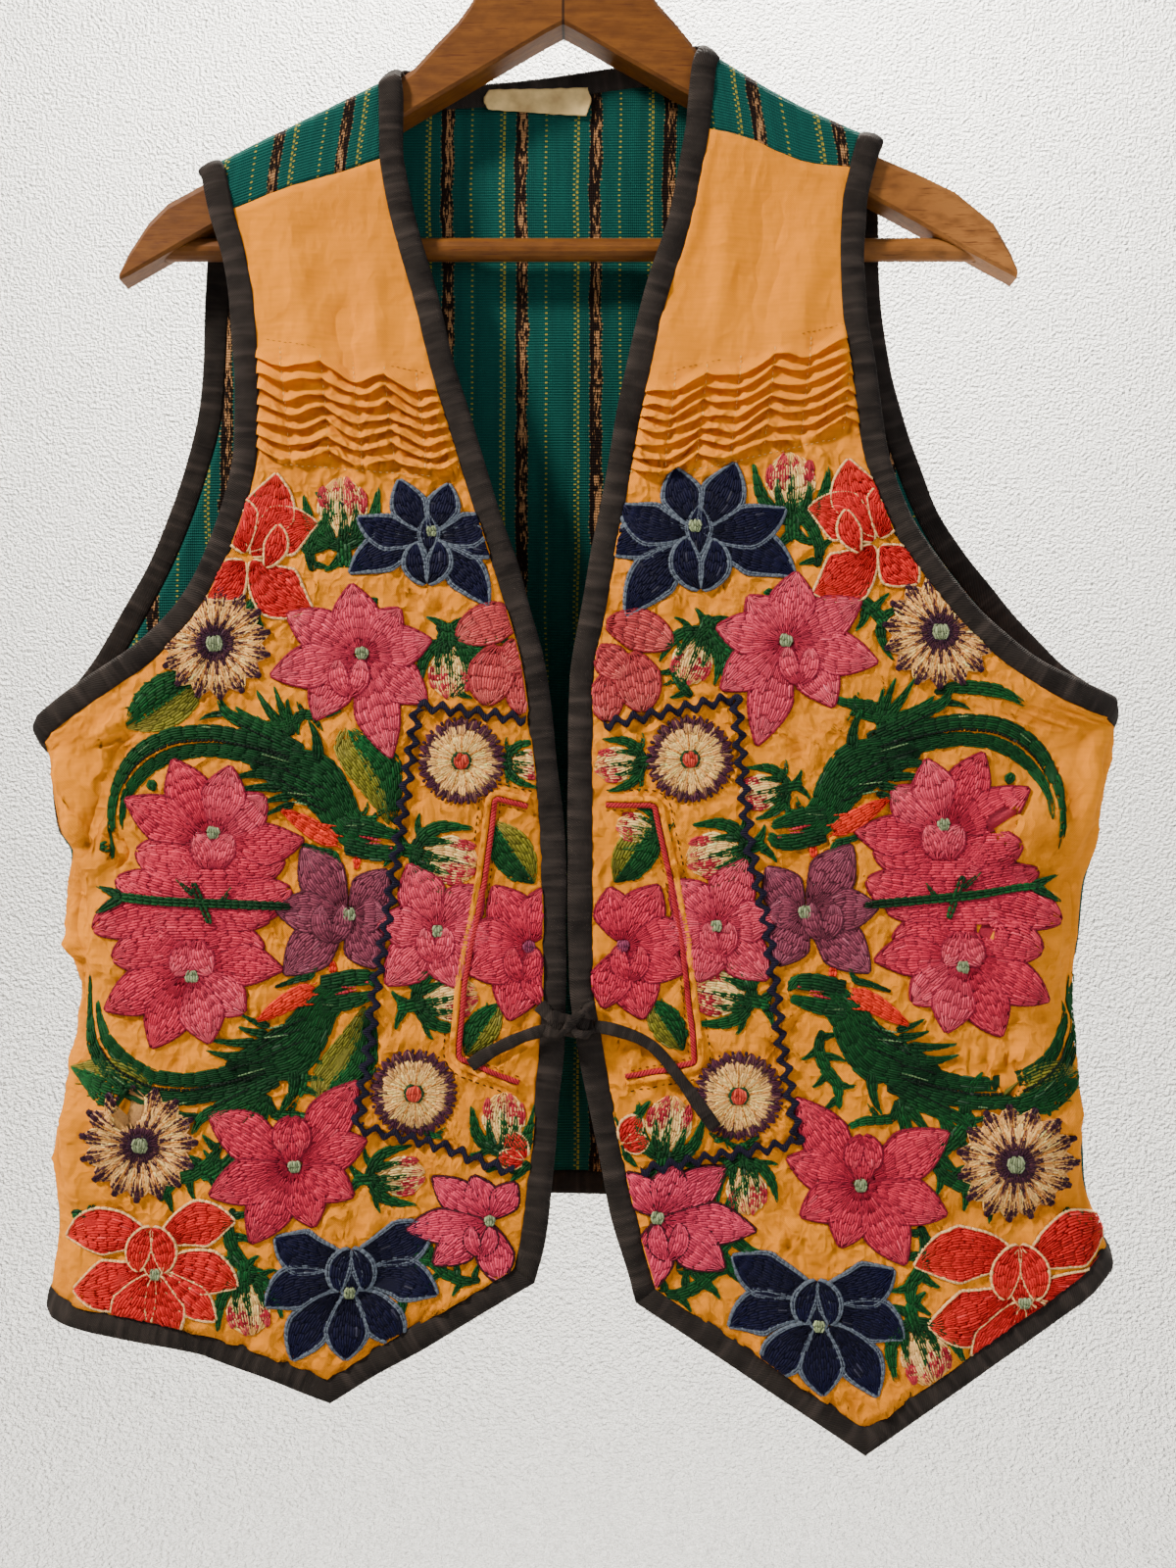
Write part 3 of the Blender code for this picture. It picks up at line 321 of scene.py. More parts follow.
def thread_socket(tree, output):
    """What put() wrote for each point: a thread's colour, or the cloth's painted shade and dirt."""
    return node(tree, "ShaderNodeAttribute", {"attribute_name": "thread"}).outputs[output]


def span(tree, value, low, high, start=0.0, end=1.0):
    """A value brought from low..high to start..end, and held beyond."""
    return node(tree, "ShaderNodeMapRange", Value=value, n1=low, n2=high, n3=start, n4=end).outputs[0]


def ramp(tree, value, stops, interpolation="LINEAR"):
    """A colour ramp from (position, grey) stops."""
    made = node(tree, "ShaderNodeValToRGB", Fac=value)
    made.color_ramp.interpolation = interpolation
    elements = made.color_ramp.elements
    while len(elements) < len(stops):
        elements.new(1.0)
    for element, (position, grey) in zip(elements, stops):
        element.position = position
        element.color = (grey, grey, grey, 1.0)
    return made.outputs[0]


def band(tree, value, *edges):
    """1 between the first edge and the second, 0 up to the third, and so on; 0 before the first."""
    return ramp(tree, value, [(0.0, 0.0), *((at, (i + 1) % 2) for i, at in enumerate(edges))], "CONSTANT")


def dress(tree, shader, tone, layers, *heights):
    """Lays colours over a base tone, each as strong as its share, then bumps, each a height socket and
    a depth in mm."""
    for share, colour in layers:
        tone = mixed(tree, share, tone, colour)
    if isinstance(tone, str):
        shader.inputs["Base Color"].default_value = (*linear(tone), 1.0)
    else:
        tree.links.new(tone, shader.inputs["Base Color"])
    links = {}
    for height, depth in heights:
        bump = node(tree, "ShaderNodeBump", Height=height, Distance=depth * MM, Strength=1.0, **links)
        links = {"Normal": bump.outputs[0]}
    tree.links.new(links["Normal"], shader.inputs["Normal"])

# %% [markdown]
# ### Gold cotton
# A plain-woven cotton, dyed marigold and worn soft: matt, with faint slubs, a few grey smudges and small
# puckers where the embroidery has drawn it in, with painted shade and dirt in their hollows. The finest
# creases, too small for the mesh, are bumps along the middle values of a noise. They are weaker above the
# tucks and at the sides. Its threads, half a millimetre apart, are drawn at 0.9 mm so that they show.

# %% Gold cotton
gold_cotton, tree, shader = finish_of("gold_plain_weave_cotton", 0.9, glint=0.08)
place = object_place(tree)
cut, u, v = cut_place(tree)
weave = threads(tree, u, v, 0.9)
slub = noise(tree, cut, 5.0, 3.0, (0.25, 2.5, 1), 1.0)
smudge = noise(tree, place, 60.0, 4.0)
pucker = noise(tree, place, 7.0, 2.0, (1.0, 1.0, 0.5))
below_tucks = ramp(tree, calc(tree, "MULTIPLY_ADD", part_of(tree, place, "Z"), -20.0, -5.8),
                   [(0.0, 0.15), (1.0, 1.0)])
off_sides = span(tree, calc(tree, "ABSOLUTE", part_of(tree, place, "X")), 0.205, 0.24, 1.0, 0.3)
crumpled = calc(tree, "MULTIPLY", below_tucks, off_sides)
creases = []
for size, detail, squash, reach, depth in ((26.0, 3.0, 1, 0.10, 1.9), (12.0, 2.0, 0.6, 0.12, 1.1)):
    line = ramp(tree, noise(tree, place, size, detail, (1, 1, squash)),
                [(0.5 - reach, 0.0), (0.5, 1.0), (0.5 + reach, 0.0)])
    creases.append((calc(tree, "MULTIPLY", line, crumpled), depth))
# The darkening from the thread attribute, towards #702E04, is painted shade in the hollows, with some dirt.
dress(tree, shader, mixed(tree, slub, "#D67E03", "#F89606"),
      [(ramp(tree, smudge, [(0.35, 0.0), (0.8, 0.45)]), "#B06A1C"),
       (ramp(tree, weave, [(0.0, 0.22), (0.6, 0.0)]), "#8A4A06"), (thread_socket(tree, "Fac"), "#702E04")],
      *creases, (pucker, 1.2), (weave, 0.14), (slub, 0.25))

# %% [markdown]
# ### Green ikat cloth
# Handwoven on a backstrap or foot loom: thick weft makes fine cross ribs, and the warp carries the
# stripes. The brown stripes are ikat, tied and dyed before weaving, so their edges are feathered like
# flames in tan. Between them run thin stripes of yellow thread that shows as dots between the ribs.
# The stripes repeat every 36 mm. The ribs, 0.8 mm apart, are drawn at 1.3 mm.

# %% Green ikat cloth
IKAT_REPEAT = 36.0
RIB = 1.3
BROWN_END = 0.615  # where the brown stripe ends, as a share of the repeat
green_ikat, tree, shader = finish_of("handwoven_green_ikat_cotton", 0.92, glint=0.1)
cut, u, v = cut_place(tree)
sway = noise(tree, cut, 60.0, 1.0, (0.2, 1, 1), 1.0)
across = calc(tree, "FRACT", calc(tree, "DIVIDE", calc(tree, "MULTIPLY_ADD", sway, 4.0, u), IKAT_REPEAT))
ribs = raised(tree, sine(tree, v, RIB))
warp = raised(tree, sine(tree, u, 1.0))
stepped = node(tree, "ShaderNodeCombineXYZ", X=u, Y=calc(tree, "SNAP", v, RIB)).outputs[0]
tint = noise(tree, cut, 9.0, 3.0, (2.0, 0.15, 1), 1.0)
flame = noise(tree, stepped, 3.0, 3.0, (1.2, 0.22, 1), 1.0)
jagged = calc(tree, "MULTIPLY_ADD", flame, 0.10, across)
heart = band(tree, calc(tree, "MULTIPLY_ADD", flame, 0.14, across), 0.53, BROWN_END)
patchy = noise(tree, cut, 26.0, 1.0, (0.3, 1.0, 1), 1.0)
dashes = calc(tree, "MULTIPLY_ADD", patchy, 0.55, noise(tree, stepped, 1.4, 2.0, (1.4, 0.30, 1), 1.0))
tan_show = calc(tree, "MULTIPLY", ramp(tree, dashes, [(0.77, 0.0), (0.84, 1.0)]), heart)
dot = ramp(tree, sine(tree, v, 2 * RIB), [(0.45, 0.0), (0.6, 1.0)])
tan_dots = calc(tree, "MULTIPLY", band(tree, jagged, 0.445, 0.458, 0.605, 0.622), dot)
yellow = calc(tree, "ADD", calc(tree, "MULTIPLY", band(tree, across, 0.190, 0.222, 0.80, 0.832), dot),
              calc(tree, "MULTIPLY", band(tree, across, 0.232, 0.262), calc(tree, "SUBTRACT", 1.0, dot)))
dress(tree, shader, mixed(tree, tint, "#083B37", "#0C574D"),
      [(band(tree, jagged, 0.455, BROWN_END), "#1A0E0A"), (tan_show, "#A87A50"),
       (calc(tree, "MULTIPLY", tan_dots, 0.7), "#8E7448"),
       (calc(tree, "MULTIPLY", yellow, 0.75), "#A8982C"),
       (ramp(tree, ribs, [(0.0, 0.45), (0.45, 0.0)]), "#011412")], (ribs, 0.35), (warp, 0.12))

# %% [markdown]
# ### Bias binding, threads, braid, piping and label
# The binding is a charcoal cotton cut on the bias, so its twill runs across the strip. Floss is soft,
# with a slight lustre: each thread takes its colour from the mesh. Rickrack is a woven braid, and the
# piping a twisted cotton cord.

# %% Binding, threads, braid, piping, label
charcoal_bias, tree, shader = finish_of("charcoal_bias_twill", 0.92, glint=0.12)
cut, u, v = cut_place(tree)
twill = sine(tree, calc(tree, "ADD", u, v), 1.1)
worn = ramp(tree, noise(tree, object_place(tree), 14.0, 4.0), [(0.3, 0.0), (0.75, 1.0)])
drawn = noise(tree, cut, 5.0, 2.0, (1.0, 0.12, 1), 1.0)
# The tops of the puckers are painted lighter, towards #483F3A: painted highlight.
dress(tree, shader, mixed(tree, worn, "#1A1614", "#342E2A"),
      [(ramp(tree, drawn, [(0.48, 0.0), (0.72, 0.6)]), "#483F3A"),
       (ramp(tree, twill, [(0.0, 0.35), (0.7, 0.0)]), "#171412")], (drawn, 1.6), (twill, 0.1))

floss, tree, shader = finish_of("stranded_cotton_floss", 0.72, glint=0.18)
colour = thread_socket(tree, "Color")
fibre = noise(tree, object_place(tree), 0.9, 2.0)
dress(tree, shader, mixed(tree, 0.35, colour, "#000000"),
      [(ramp(tree, fibre, [(0.3, 0.0), (0.75, 1.0)]), colour)], (fibre, 0.25))

navy_braid, tree, shader = finish_of("navy_woven_rickrack", 0.75)
plait = sine(tree, cut_place(tree)[1], 1.2)
dress(tree, shader, mixed(tree, plait, "#07051A", "#150F2C"), [], (plait, 0.2))

rose_piping, tree, shader = finish_of("rose_cotton_piping", 0.8)
cut, u, v = cut_place(tree)
twist = sine(tree, calc(tree, "ADD", u, v), 1.6)
dress(tree, shader, mixed(tree, twist, "#98141E", "#C23038"), [], (twist, 0.25))

cream_label, tree, shader = finish_of("cream_cotton_tape", 0.9)
cut, u, v = cut_place(tree)
weave = threads(tree, u, v, 0.8)
stain = noise(tree, object_place(tree), 9.0, 4.0)
dress(tree, shader, mixed(tree, ramp(tree, stain, [(0.35, 0.0), (0.8, 1.0)]), "#EACB8A", "#A07E50"), [],
      (weave, 0.12), (stain, 0.4))

# %% [markdown]
# ### Wood and wire
# The hanger is a close-grained hardwood, stained brown and varnished, with long grain along each arm
# and a mottled, handled surface, lighter towards its right end where the stain has rubbed off. Its two
# arms meet in a dark line at the middle. The hook is drawn steel wire.

# %% Wood and wire
hanger_wood, tree, shader = finish_of("stained_varnished_hardwood", 0.5, glint=0.2)
place = object_place(tree)
x = part_of(tree, place, "X")
grain = noise(tree, place, 2.4, 4.0, (0.05, 1.0, 0.55))
mottle = noise(tree, place, 5.0, 6.0, (0.5, 1.0, 1.0))
pores = noise(tree, place, 0.9, 2.0, (0.08, 1.0, 1.0))
joint = calc(tree, "MULTIPLY", span(tree, calc(tree, "ABSOLUTE", x), 0.0004, 0.0009, 0.85, 0.0),
             calc(tree, "GREATER_THAN", part_of(tree, place, "Z"), -0.15))
dress(tree, shader, mixed(tree, ramp(tree, grain, [(0.3, 0.0), (0.7, 1.0)]), "#5C340E", "#744616"),
      [(calc(tree, "MULTIPLY", span(tree, x, 0.13, 0.20), 0.65), "#B0743A"),
       (ramp(tree, mottle, [(0.44, 0.0), (0.70, 0.5)]), "#45240C"),
       (ramp(tree, pores, [(0.28, 0.7), (0.40, 0.0)]), "#4A220E"), (joint, "#180A03")],
      (pores, 0.08), (mottle, 0.15))

hook_steel, tree, shader = finish_of("drawn_steel_wire", 0.32, 1.0, 0.5)
dress(tree, shader, "#B9B6B0", [], (noise(tree, object_place(tree), 0.8, 2.0, (1.0, 1.0, 0.1)), 0.03))

# %% [markdown]
# ## The cut and its surfaces
# The waistcoat is a flattened ring: at every height the fronts lie so far before the hanger's middle
# plane and the back so far behind it, and each side turns round a fold. A place on a front is its
# girth, measured out from the centre line and on round the fold, and its height. The edges and
# levels are tables of real sizes; x or out in mm from the centre line, z from the hook's inside top.

# %% Sizes and edges
BACK_WALL = 1.2  # thickness of the solids of green cloth
SEAM_GAP = 0.3  # panels stop so far short of each other
SIDE_TURN = 30.0  # sideways radius of the fold at each side
FOLD_FADE = 14.0  # over this distance the folds die away towards a side seam
YOKE_CORNER = 5.5  # radius at which a yoke turns over the hanger's arm
YOKE_BACK_DROP = 13.0  # the back shoulder seam lies this far below the ridge
TUCKS = 7
TUCK_ROWS = 3  # rows of points to a tuck, and below them columns of a front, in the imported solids
FRONT_COLUMNS = 16
HEM_POINT_COLUMN = 6  # the column that ends in the hem's point
BACK_SEAM_COLUMNS = 5  # and the back's columns: along each shoulder seam, then along the neck
BACK_NECK_COLUMNS = 8
BACK_ROWS_ABOVE = 9
BACK_ROWS_BELOW = 13  # as many as a front has below the underarm, so that the side seams agree
BRAID_WAVE = 8.2  # length of one wave
DEPTHS = table("z front back", [
    (-120, 10.4, 11), (-216, 10.4, 11), (-256, 13, 12), (-300, 17, 13), (-340, 20, 14), (-400, 24, 15),
    (-460, 26, 15.5), (-600, 27, 15), (-700, 26, 14), (-800, 25, 14),
])
SIDE_SHAPE = both("z half_width seam_deg", [
    (-440, 251, 86), (-460, 250, 86), (-474, 244, 80), (-492, 243, 62), (-507, 241, 56), (-519, 234, 60),
    (-533, 235, 80), (-556, 236, 88), (-580, 229, 88), (-618, 231, 88), (-636, 236, 88), (-663, 242, 82),
    (-692, 240, 64), (-714, 241, 80), (-740, 245, 88),
], [
    (-440, 265, 86), (-458, 262, 86), (-474, 260, 88), (-497, 255, 84), (-513, 254, 72), (-533, 248, 60),
    (-561, 245, 60), (-580, 241, 80), (-600, 240, 86), (-627, 244, 66), (-649, 247, 58), (-673, 248, 62),
    (-694, 253, 82), (-717, 262, 88),
])
FRONT_EDGE = both("z out", [
    (-190, 86), (-208, 83), (-227, 78.5), (-256, 70), (-292, 61), (-328, 50), (-363, 39), (-398, 28),
    (-433, 18.5), (-468, 14), (-510, 9.6), (-563, 8.7), (-597, 9.2), (-632, 12), (-667, 15), (-700, 19),
    (-711, 22),
], [
    (-176, 68.5), (-204, 63.5), (-228, 58), (-256, 48.5), (-310, 36.5), (-363, 27), (-415, 17.5),
    (-440, 13.5), (-509, 12.9), (-577, 13.2), (-609, 18), (-623, 20.4), (-666, 29), (-696, 36),
    (-720.4, 43),
])
FRONT_ARMHOLE = both("z out", [
    (-214, 157), (-236, 151), (-257, 147), (-278, 145), (-303, 143.5), (-327, 143.5), (-352, 147),
    (-384, 158), (-406, 169.5), (-427, 189), (-444, 213), (-459, 235),
], [
    (-194.5, 136.5), (-212, 133), (-235, 132), (-259, 132.5), (-288, 136), (-331, 141.5), (-363, 152),
    (-392, 170), (-420, 194), (-439, 219), (-451, 244),
])
BACK_ARMHOLE = both("z out", [
    (-204, 162), (-247, 164), (-302, 167), (-338, 176), (-375, 190), (-412, 209.5), (-440, 227),
    (-457, 240),
], [
    (-190, 142), (-247, 143.5), (-284, 149), (-327, 161), (-364, 177), (-399, 203), (-425, 226),
    (-445, 248),
])
UNDERARM = {"left": -470.0, "right": -459.0}  # height of the top of the side seam
SIDE_HEM = {"left": -725.0, "right": -703.0}  # height of its foot
YOKE_SEAM = both("out z", [
    (86, -190), (102, -195.5), (125, -202), (157, -214),
], [
    (68.5, -176), (90, -181.5), (103, -187.5), (118, -192.5), (136.5, -194.5),
])
RIDGE = both("out z", [
    (60, -138.5), (86.5, -151.4), (130, -173), (164.5, -190), (180, -197.5),
], [
    (55, -128), (74.4, -140.5), (101, -156.8), (119, -165.9), (143, -176.5), (158, -183),
])
YOKE_ENDS = table("front ridge back", [
    (86, 86.5, 70), (157, 164.5, 162), (68.5, 74.4, 58), (136.5, 143, 142),
])
YOKE_END_ROW = {"left": 0, "right": 2}
FRONT_HEM = both("out z", [
    (22, -711), (109, -762.3), (164, -741), (225, -729.4), (262, -725),
], [
    (43, -720.4), (140.5, -785.7), (200, -743.5), (249, -709), (279, -703),
])
BACK_NECK = table("x z", [
    (-70, -157.6), (-40, -156.3), (-7, -152.6), (21, -148.6), (40, -146.3), (58, -145.4),
])
BACK_HEM = table("x z", [
    (-262, -725), (-200, -712), (-110, -690), (0, -676), (110, -684), (200, -697), (279, -703),
])
FRONT_LEVELS = both("rows z_edge z_outer", [
    (0, -190, -214), (4, -296, -280), (TUCKS * TUCK_ROWS, -340, -332), (7, -462, -470), (13, -711, -725),
], [
    (0, -176, -194.5), (4, -298, -272), (TUCKS * TUCK_ROWS, -343, -317), (7, -452, -459),
    (13, -720.4, -703),
])
TUCK_STITCHES = {"left": (51, 66, 81, 96, 111, 130, 148), "right": (34, 50, 65, 81, 97, 114, 134, 150)}
FOLDS = both("out z out_end z_end spread lift", [
    (236, -468, 206, -496, 8, -3), (246, -488, 196, -517, 10, -5), (246, -507, 204, -512, 9, 3.5),
    (240, -541, 196, -528, 10, -3.5), (232, -585, 190, -605, 12, -4), (238, -648, 202, -634, 11, 3.5),
    (236, -688, 205, -715, 11, -3.5), (60, -640, 90, -745, 16, -2.5), (150, -655, 165, -735, 18, 2.5),
    (112, -226, 100, -275, 16, -1.6),
], [
    (250, -462, 214, -482, 9, -3), (254, -498, 206, -505, 10, 3.5), (252, -520, 204, -534, 10, -4.5),
    (244, -560, 198, -553, 10, 3), (238, -590, 196, -604, 12, -4), (246, -632, 208, -622, 11, 3),
    (250, -672, 206, -690, 12, -4), (70, -655, 95, -755, 16, -2.5), (165, -660, 175, -750, 18, 2.5),
    (95, -208, 80, -262, 16, -1.6),
])
BACK_FOLDS = table("x z x_end z_end spread lift", [
    (-120, -280, -150, -660, 24, 2.5), (-45, -330, -40, -680, 26, -2), (40, -300, 55, -680, 24, 2.5),
    (125, -290, 160, -650, 26, -2), (-205, -500, -150, -540, 14, -3), (215, -500, 160, -548, 14, -3),
    (190, -600, 140, -590, 14, 2.5),
])
BRAID = both("out z", [
    (17, -456.5), (67, -450), (76, -513), (81, -550), (86, -577), (90, -613), (95, -645), (56, -654),
    (23, -666),
], [
    (19, -459), (80, -446.5), (86, -513.5), (95, -554), (100, -600), (109, -652), (70, -659), (36, -665),
])
PIPING = both("out z", [
    (16, -497), (31, -493), (36, -532), (45, -577), (48, -613), (20, -624.5),
], [
    (20, -496.3), (42.5, -496.4), (50, -531.5), (55, -559), (61.5, -615.5), (29, -621.5),
])
LABEL_BOX = table("x z", [(-38.5, -149), (13.5, -148), (12.5, -162), (-38.5, -158.5)])
TIES = both("x y z", [
    (-7.6, -35.2, -599.3), (-13, -34.6, -600.8), (-19, -33.6, -603), (-25, -32.7, -605.8),
    (-31, -32.2, -608.8), (-37, -32, -612.4), (-42.5, -32, -616.2),
], [
    (14.7, -35.3, -597.6), (21, -35, -598.6), (28, -34.2, -600.6), (35, -33.3, -603.3),
    (41.5, -32.6, -607.3), (46.8, -32.2, -612.6), (51.6, -32, -618.8), (57, -31.9, -626), (62, -31.4, -633),
    (66.5, -31.1, -639.4), (70.5, -31, -645.2),
])

# %% Surfaces
def straight(at, xs, ys):
    """Straight lines through the points."""
    order = np.argsort(xs)
    return np.interp(at, xs[order], ys[order])


def depth(which, z):
    """How far the fronts lie before, or the back behind, the middle plane."""
    return smooth(z, DEPTHS["z"], DEPTHS[which])


def half_width(side, z):
    """How far out the ring reaches at its side fold."""
    return smooth(np.clip(z, -760, -440), SIDE_SHAPE[side]["z"], SIDE_SHAPE[side]["half_width"])


def seam_turn(side, z):
    """How far round the side fold the side seam runs, in radians."""
    return np.radians(smooth(np.clip(z, -760, -440), SIDE_SHAPE[side]["z"], SIDE_SHAPE[side]["seam_deg"]))


def folds(x, z, rows, along="out"):
    """The sum of the folds: each is a bell across its line, tapered to nothing at both ends."""
    lift = np.zeros(np.broadcast(x, z).shape)
    for i in range(len(rows["z"])):
        start = np.array([rows[along][i], rows["z"][i]])
        way = np.array([rows[along + "_end"][i], rows["z_end"][i]]) - start
        length = np.hypot(*way)
        share = ((x - start[0]) * way[0] + (z - start[1]) * way[1]) / length**2
        across = ((x - start[0]) * way[1] - (z - start[1]) * way[0]) / length
        taper = np.clip(np.minimum(share + 0.35, 1.35 - share) / 0.6, 0, 1)
        taper = taper**2 * (3 - 2 * taper)
        lift = lift + rows["lift"][i] * taper * np.exp(-((across / rows["spread"][i]) ** 2))
    return lift


def round_fold(flat, girth):
    """How far out a girth lies and how far round the side fold: the fold's radius times sin(turn) is
    added to the flat part."""
    turn = np.clip((girth - flat) / SIDE_TURN, 0, math.pi)
    return np.minimum(girth, flat) + SIDE_TURN * np.sin(turn), turn


def front_point(side, girth, z):
    """A point of a front's inner face. Past the flat part, an elliptical turn leads to the back."""
    girth, z = np.broadcast_arrays(np.asarray(girth, float), np.asarray(z, float))
    flat = half_width(side, z) - SIDE_TURN
    out, turn = round_fold(flat, girth)
    to_seam = flat + SIDE_TURN * seam_turn(side, z) - girth
    before = depth("front", z) + folds(girth, z, FOLDS[side]) * np.clip(to_seam / FOLD_FADE, 0, 1)
    y = np.where(turn < math.pi / 2, -before * np.cos(turn), -depth("back", z) * np.cos(turn))
    return np.stack([SIDES[side] * out, y, z], axis=-1)


def back_point(x, z):
    """A point of the back's inner face, in the same way from the centre back."""
    x, z = np.broadcast_arrays(np.asarray(x, float), np.asarray(z, float))
    flat = np.where(x < 0, half_width("left", z), half_width("right", z)) - SIDE_TURN
    out, turn = round_fold(flat, np.abs(x))
    to_turn = flat - np.abs(x)
    behind = depth("back", z) + folds(x, z, BACK_FOLDS, along="x") * np.clip(to_turn / FOLD_FADE, 0, 1)
    y = np.where(turn < math.pi / 2, behind * np.cos(turn), depth("front", z) * np.cos(turn))
    return np.stack([np.sign(x) * out, y, z], axis=-1)


def outward(point, across, z, inward_hint):
    """The surface's unit normal from small steps along both of its directions, away from the hint."""
    step = 0.4
    a = point(across + step, z) - point(across - step, z)
    b = point(across, z + step) - point(across, z - step)
    normal = unit(np.cross(a, b))
    flip = np.sign(np.sum(normal * inward_hint, axis=-1, keepdims=True))
    return -normal * np.where(flip == 0, 1, flip)


def girth_at(side, out, z):
    """The girth at which a front's surface lies this far out from the centre line."""
    flat = half_width(side, z) - SIDE_TURN
    past = np.clip((out - flat) / SIDE_TURN, 0, 1)
    return np.minimum(out, flat) + SIDE_TURN * np.arcsin(past)


def outer_girth(side, z, armhole, turn_of):
    """A panel's outer edge as girth: the armhole above the underarm, the side seam below it."""
    def seam(at):
        return half_width(side, at) - SIDE_TURN * (1 - turn_of(at)) - SEAM_GAP

    top = UNDERARM[side]
    zs = np.append(armhole["z"], top)
    girths = np.append(girth_at(side, armhole["out"], armhole["z"]), seam(top))
    return np.where(z > top, smooth(z, zs, girths), seam(z))


def front_edge(side, z):
    """Girth of a front's bound edge at the centre."""
    return smooth(z, FRONT_EDGE[side]["z"], FRONT_EDGE[side]["out"])


def front_outer(side, z):
    """Girth of a front's armhole edge and side seam."""
    return outer_girth(side, z, FRONT_ARMHOLE[side], lambda at: seam_turn(side, at))


def front_hem(side, girth):
    """Height of a front's pointed hem."""
    return straight(girth, FRONT_HEM[side]["out"], FRONT_HEM[side]["z"])


def ridge_z(side, out):
    """Height of the hanger's upper edge so far out."""
    return smooth(out, RIDGE[side]["out"], RIDGE[side]["z"])


def ridge_cos(side, out):
    """Cosine of the ridge's slope: 1 / square root of (1 + slope squared)."""
    slope = (ridge_z(side, out + 1) - ridge_z(side, out - 1)) / 2
    return 1 / np.sqrt(1 + slope**2)


def yoke_point(side, out, y, drop):
    """A point of the yoke's inner face: so far out, at this y, this far below the ridge."""
    z = ridge_z(side, out) - (drop + BACK_WALL) / ridge_cos(side, out)
    return np.stack(np.broadcast_arrays(SIDES[side] * out, y, z), axis=-1)


def grid_normals(points, away_from):
    """Normals of a grid of points by differences, turned away from the given point."""
    across = np.gradient(points, axis=1)
    along = np.gradient(points, axis=0)
    normal = unit(np.cross(across, along))
    flip = np.sign(np.sum(normal * (points - away_from), axis=-1, keepdims=True))
    return normal * flip

# %% [markdown]
# ## Embroidery
# Flowers, leaves and birds are worked in stranded cotton: long-and-short satin stitch laid along each
# petal, then an outline in stem stitch. Every petal here is a padded patch with its own stitches over
# it. A patch runs from its root to its tip along a spine, which may be bent, and has a half width.

# %% Thread colours and patch shapes
THREADS = {  # at the root, in the middle, at the tip, outline, outline's width in mm
    "pink": ("#A01834", "#CE2E4A", "#DA4258", "#7A0A26", 1.4),
    "rose": ("#B02440", "#D8445C", "#E05A6C", "#8A1430", 1.4),
    "salmon": ("#A83038", "#C84A4C", "#D45E5A", "#8C2028", 1.4),
    "mauve": ("#6A2A3C", "#8A3E52", "#9C5064", "#4E1A2A", 1.3),
    "maroon_pink": ("#B42444", "#D83C5C", "#DC4866", "#3E0816", 1.5),
    "red": ("#AC0C10", "#CE1C1C", "#DA2C22", "#F0C080", 1.5),
    "navy": ("#05061E", "#090A2A", "#0C0E34", "#5E6874", 3.0),
    "green": ("#043012", "#08481C", "#0F5A28", None, 0.0),
    "olive": ("#585A10", "#7A7620", "#8E8430", None, 0.0),
    "feather": ("#032C12", "#06401A", "#0B5022", None, 0.0),
    # The hollow thread is near black: painted shade for the gaps between feathers.
    "hollow": ("#010E06", "#02160A", "#02160A", None, 0.0),
    "breast": ("#D02010", "#E23018", "#D82C14", None, 0.0),
    "cream": ("#FCBE6C", "#FFCC80", "#F8B460", None, 0.0),
    "fleck": ("#8E1828", "#AC2434", "#C23C46", None, 0.0),
    "dot": ("#7E8E68", "#94A078", "#7A8A64", None, 0.0),
    "red_dot": ("#B82018", "#D8503C", "#B82018", "#0C4020", 1.6),
    "mauve_dot": ("#7A2848", "#8E3C5C", "#7A2848", None, 0.0),
    "dusk": ("#FFCC78", "#FFC470", "#55283C", None, 0.0),
    "tuft": ("#3A1A30", "#FCBA68", "#7C4C44", None, 0.0),
    "amber": ("#B87028", "#CC8434", "#D89448", None, 0.0),
    "stroke": ("#2A1026", "#44202E", "#7A443C", None, 0.0),
    "pale": ("#5C7C54", "#6C8A5C", "#4C7048", None, 0.0),
}
MIDDLE_FROM, TIP_FROM, TIP_BLEND = 0.45, 0.68, 0.16  # shares of a patch's length
TURNS = {"dusk": 0.60, "tuft": 0.80}  # where the tip's colour begins, if elsewhere


def rising(s, widest, power):
    """From 0 at the root to 1 where a patch is widest."""
    return np.clip(s / widest, 0, 1) ** power


def falling(s, widest, rest, power):
    """From 1 where a patch is widest to 0 over the rest of it."""
    return 1 - np.clip((s - widest) / rest, 0, 1) ** power


WIDTHS = {  # the share of its half width that a patch has at each share of its length
    "petal": lambda s: rising(s, 0.45, 0.6) * falling(s, 0.45, 0.55, 2.2) ** 0.9,
    "broad": lambda s: rising(s, 0.4, 0.5) * falling(s, 0.4, 0.6, 2.6) ** 0.7,
    "point": lambda s: rising(s, 0.5, 0.65) * falling(s, 0.5, 0.5, 1.7),
    "blunt": lambda s: rising(s, 0.56, 0.55) * falling(s, 0.56, 0.44, 1.7) ** 0.95,
    "round": lambda s: np.sqrt(np.clip(1 - (2 * s - 1) ** 2, 0, 1)),
    "claw": lambda s: (1 - s) ** 0.65 * np.clip(8 * s, 0, 1) ** 0.5,
    "stem": lambda s: np.clip(np.minimum(s, 1 - s) * 9, 0, 1) ** 0.5,
    "half": lambda s: 4 * s * (1 - s),
}


def worked(thread, shape, layer, *rows):
    """Patches alike in thread, shape and layer, from rows of root, tip, half width and any bend."""
    return [(*row, 0.0)[:6] + (shape, layer, thread) for row in rows]


PETAL_SCALE = (0.4, 0.4, 1.04, 1.04, 1.22, 1)  # roots close to the dot, and petals full enough to touch


def petals(thread, shape, *rows):
    """The same for a ring of petals, the first three lowest."""
    full = [[a * b for a, b in zip((*row, 0.0), PETAL_SCALE)] for row in rows]
    return worked(thread, shape, 0, *full[:3]) + worked(thread, shape, 1, *full[3:])


